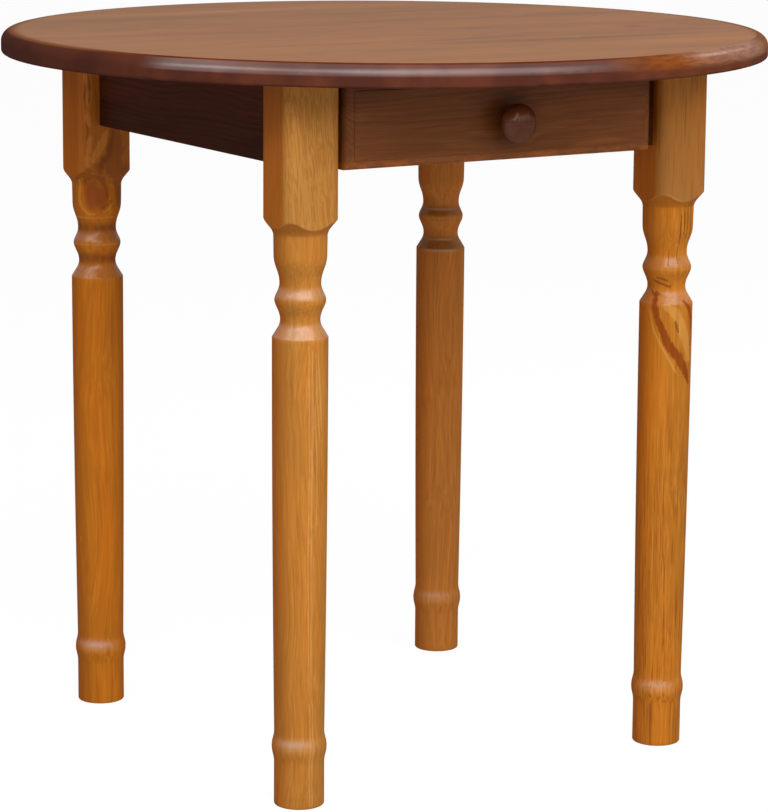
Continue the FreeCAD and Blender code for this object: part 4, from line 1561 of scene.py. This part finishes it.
# %% Colour of the rim
CREST_COLOURS = ((0.108, 0.016, 0.002), (0.142, 0.025, 0.004))
SIDE_COLOURS = ((0.072, 0.0195, 0.0115), (0.112, 0.0300, 0.0150))
ORANGE_COLOURS = ((0.165, 0.042, 0.008), (0.235, 0.064, 0.011))
DULL_COLOUR = (0.175, 0.058, 0.020)
FADED_COLOUR = (0.215, 0.084, 0.034)
# Painted shade on the rim towards its left end, away from the light.
LEFT_END_SHADE = (0.056, 0.0145, 0.0085)
LEFT_END = (-76.0, -62.0)
LEFT_END_SHARE = 0.5
ORANGE_LOW_SHARE = 0.25
DULL_SHARE = 0.8
FADED_SHARE = 0.8


def rim_colour(tree, zones):
    """A dark red crest over a browner side, with an orange stretch and a faded one in front, and painted
    shade towards the left end.
    """
    azimuth, upper = zones["azimuth"], zones["upper"]
    crest = blend_colour(tree, zones["patches"], *CREST_COLOURS)
    crest = blend_colour(tree, times(tree, zones["dull"], DULL_SHARE), crest, DULL_COLOUR)
    side = blend_colour(tree, zones["patches"], *SIDE_COLOURS)
    left_end = remap(tree, azimuth, *LEFT_END, LEFT_END_SHARE, 0.0)
    side = blend_colour(tree, left_end, side, LEFT_END_SHADE)
    colour = blend_colour(tree, zones["side"], crest, side)
    orange = times(tree, window(tree, azimuth, *ORANGE_WINDOW),
                   remap(tree, upper, 0.0, 1.0, ORANGE_LOW_SHARE, 1.0))
    colour = blend_colour(tree, orange, colour, blend_colour(tree, zones["flecks"], *ORANGE_COLOURS))
    faded = times(tree, window(tree, azimuth, *FADED_WINDOW), upper)
    return blend_colour(tree, times(tree, faded, FADED_SHARE), colour, FADED_COLOUR)


# %% Gloss of the top
FLAT_COAT = 0.235
SIDE_COAT = 0.03
BAND_COAT = 0.44
GLINT_COAT = 0.42
BAND_HEIGHTS = (0.7375, 0.7395)
# Ways in which the band's gloss falls along the rim: azimuths in degrees, and the two levels.
BAND_FALLS = ((-60.0, -42.0, 1.9, 1.0), (-36.0, -14.0, 1.0, 0.70))
BAND_PATCHY = 0.85
GLINT_FLECKED = 0.75


def top_coat(tree, zones):
    """The coat's weight: satin on the flat, a bright band along the rim and a flecked glint."""
    azimuth, rim = zones["azimuth"], zones["rim"]
    band = times(
        tree, zones["side"],
        remap(tree, zones["height"], *BAND_HEIGHTS),
        window(tree, azimuth, *BAND_WINDOW),
        *(remap(tree, azimuth, *fall) for fall in BAND_FALLS),
        remap(tree, zones["patches"], 0.0, 1.0, BAND_PATCHY, 1.0),
    )
    glint = times(
        tree, rim, zones["upper"],
        window(tree, azimuth, *GLINT_WINDOW),
        remap(tree, zones["flecks"], 0.0, 1.0, GLINT_FLECKED, 1.0),
    )
    return plus(
        tree,
        times(tree, less(tree, 1.0, rim), FLAT_COAT),
        times(tree, rim, SIDE_COAT),
        times(tree, band, BAND_COAT),
        times(tree, glint, GLINT_COAT),
    )


# %% The top's varnish
TOP_PALE = (0.282, 0.105, 0.025)
TOP_DARK = (0.222, 0.072, 0.013)


def top_varnish():
    """Satin brown on the flat, a dark red line where it turns over, and a dark glossy rim."""
    material = varnished_wood(
        "top_varnish", TOP_PALE, TOP_DARK, "x", (0.25, 0.10), ring_width=0.011, contrast=0.45, wander=0.02,
        hair=0.28, tone=0.09, fibre=0.08, coat_roughness=0.32, bump=0.05,
    )
    tree = material.node_tree
    inputs = tree.nodes[PRINCIPLED].inputs
    place = object_place(tree)
    zones = top_zones(tree, place)
    shade = less(tree, 1.0, times(tree, long_marks(tree, place), MARKS_DEPTH))
    flat = shade_by(tree, inputs["Base Color"].links[0].from_socket, shade)
    feed(tree, inputs["Base Color"], blend_colour(tree, zones["rim"], flat, rim_colour(tree, zones)))
    feed(tree, inputs["Coat Weight"], top_coat(tree, zones))
    return material


top_material = top_varnish()
print("top varnish:", len(top_material.node_tree.nodes), "nodes,", len(TOP_MARKS), "long marks")

# %% [markdown]
# ## Inside woods and steel
# Nobody varnishes what nobody sees. The drawer's box and the strips that carry it are bare
# softwood, planed and no more, and the drawer's bottom is plywood. Screws, nails and the
# knob's bolt are zinc plated, which is dull and faintly speckled. The same function makes the
# bare woods, without a coat, so all woods of the table share one figure.

# %% Bare wood, plywood and steel
BARE_PALE = (0.60, 0.40, 0.21)
BARE_DARK = (0.46, 0.27, 0.12)
BARE_VALUES = dict(ring_width=0.004, contrast=0.6, roughness=0.62, specular=0.2)
PLY_PALE = (0.58, 0.42, 0.25)
PLY_DARK = (0.50, 0.34, 0.18)
ZINC_COLOURS = ((0.52, 0.52, 0.50), (0.70, 0.70, 0.68))
ZINC_WAVES = 900.0
ZINC_ROUGHNESS = (0.28, 0.42)

bare_y_material = varnished_wood("bare_softwood_y", BARE_PALE, BARE_DARK, "y", (0.3, 0.5), **BARE_VALUES)
bare_x_material = varnished_wood("bare_softwood_x", BARE_PALE, BARE_DARK, "x", (0.5, 0.4), **BARE_VALUES)
plywood_material = varnished_wood("plywood", PLY_PALE, PLY_DARK, "y", (0.1, 0.4), ring_width=0.014,
                                  contrast=0.5, wander=0.02, roughness=0.6, specular=0.2)


def zinc_steel():
    """Dull plated steel for screws, nails and the bolt."""
    material, tree = new_material("zinc_steel")
    inputs = tree.nodes[PRINCIPLED].inputs
    speckle = noise(tree, object_place(tree), ZINC_WAVES)
    feed(tree, inputs["Base Color"], blend_colour(tree, speckle, *ZINC_COLOURS))
    feed(tree, inputs["Roughness"], remap(tree, speckle, 0.3, 0.7, *ZINC_ROUGHNESS))
    inputs["Metallic"].default_value = 1.0
    return material


steel_material = zinc_steel()

# %% [markdown]
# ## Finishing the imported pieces
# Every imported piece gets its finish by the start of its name, and whatever isn't listed is
# bare softwood with its grain along the drawer's way. Pieces that hold others are steel. The
# nodes that a new piece stands for are finished too, so none is left grey.

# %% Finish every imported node
FINISHES = (
    ("top_board", top_material),
    ("apron_", apron_material),
    ("drawer_bottom", plywood_material),
    ("drawer_back", bare_x_material),
    ("drawer_box_front", bare_x_material),
    ("drawer_stop_tab", bare_x_material),
)
STEEL_WORDS = ("screws", "nails", "bolt")


def finish_of(name):
    """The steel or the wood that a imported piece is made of."""
    if any(word in name for word in STEEL_WORDS):
        return steel_material
    chosen = [material for start, material in FINISHES if name.startswith(start)]
    return chosen[-1] if chosen else bare_y_material


for name in nodes:
    finish(name, finish_of(name))
print("finished:", len(nodes), "packed pieces")
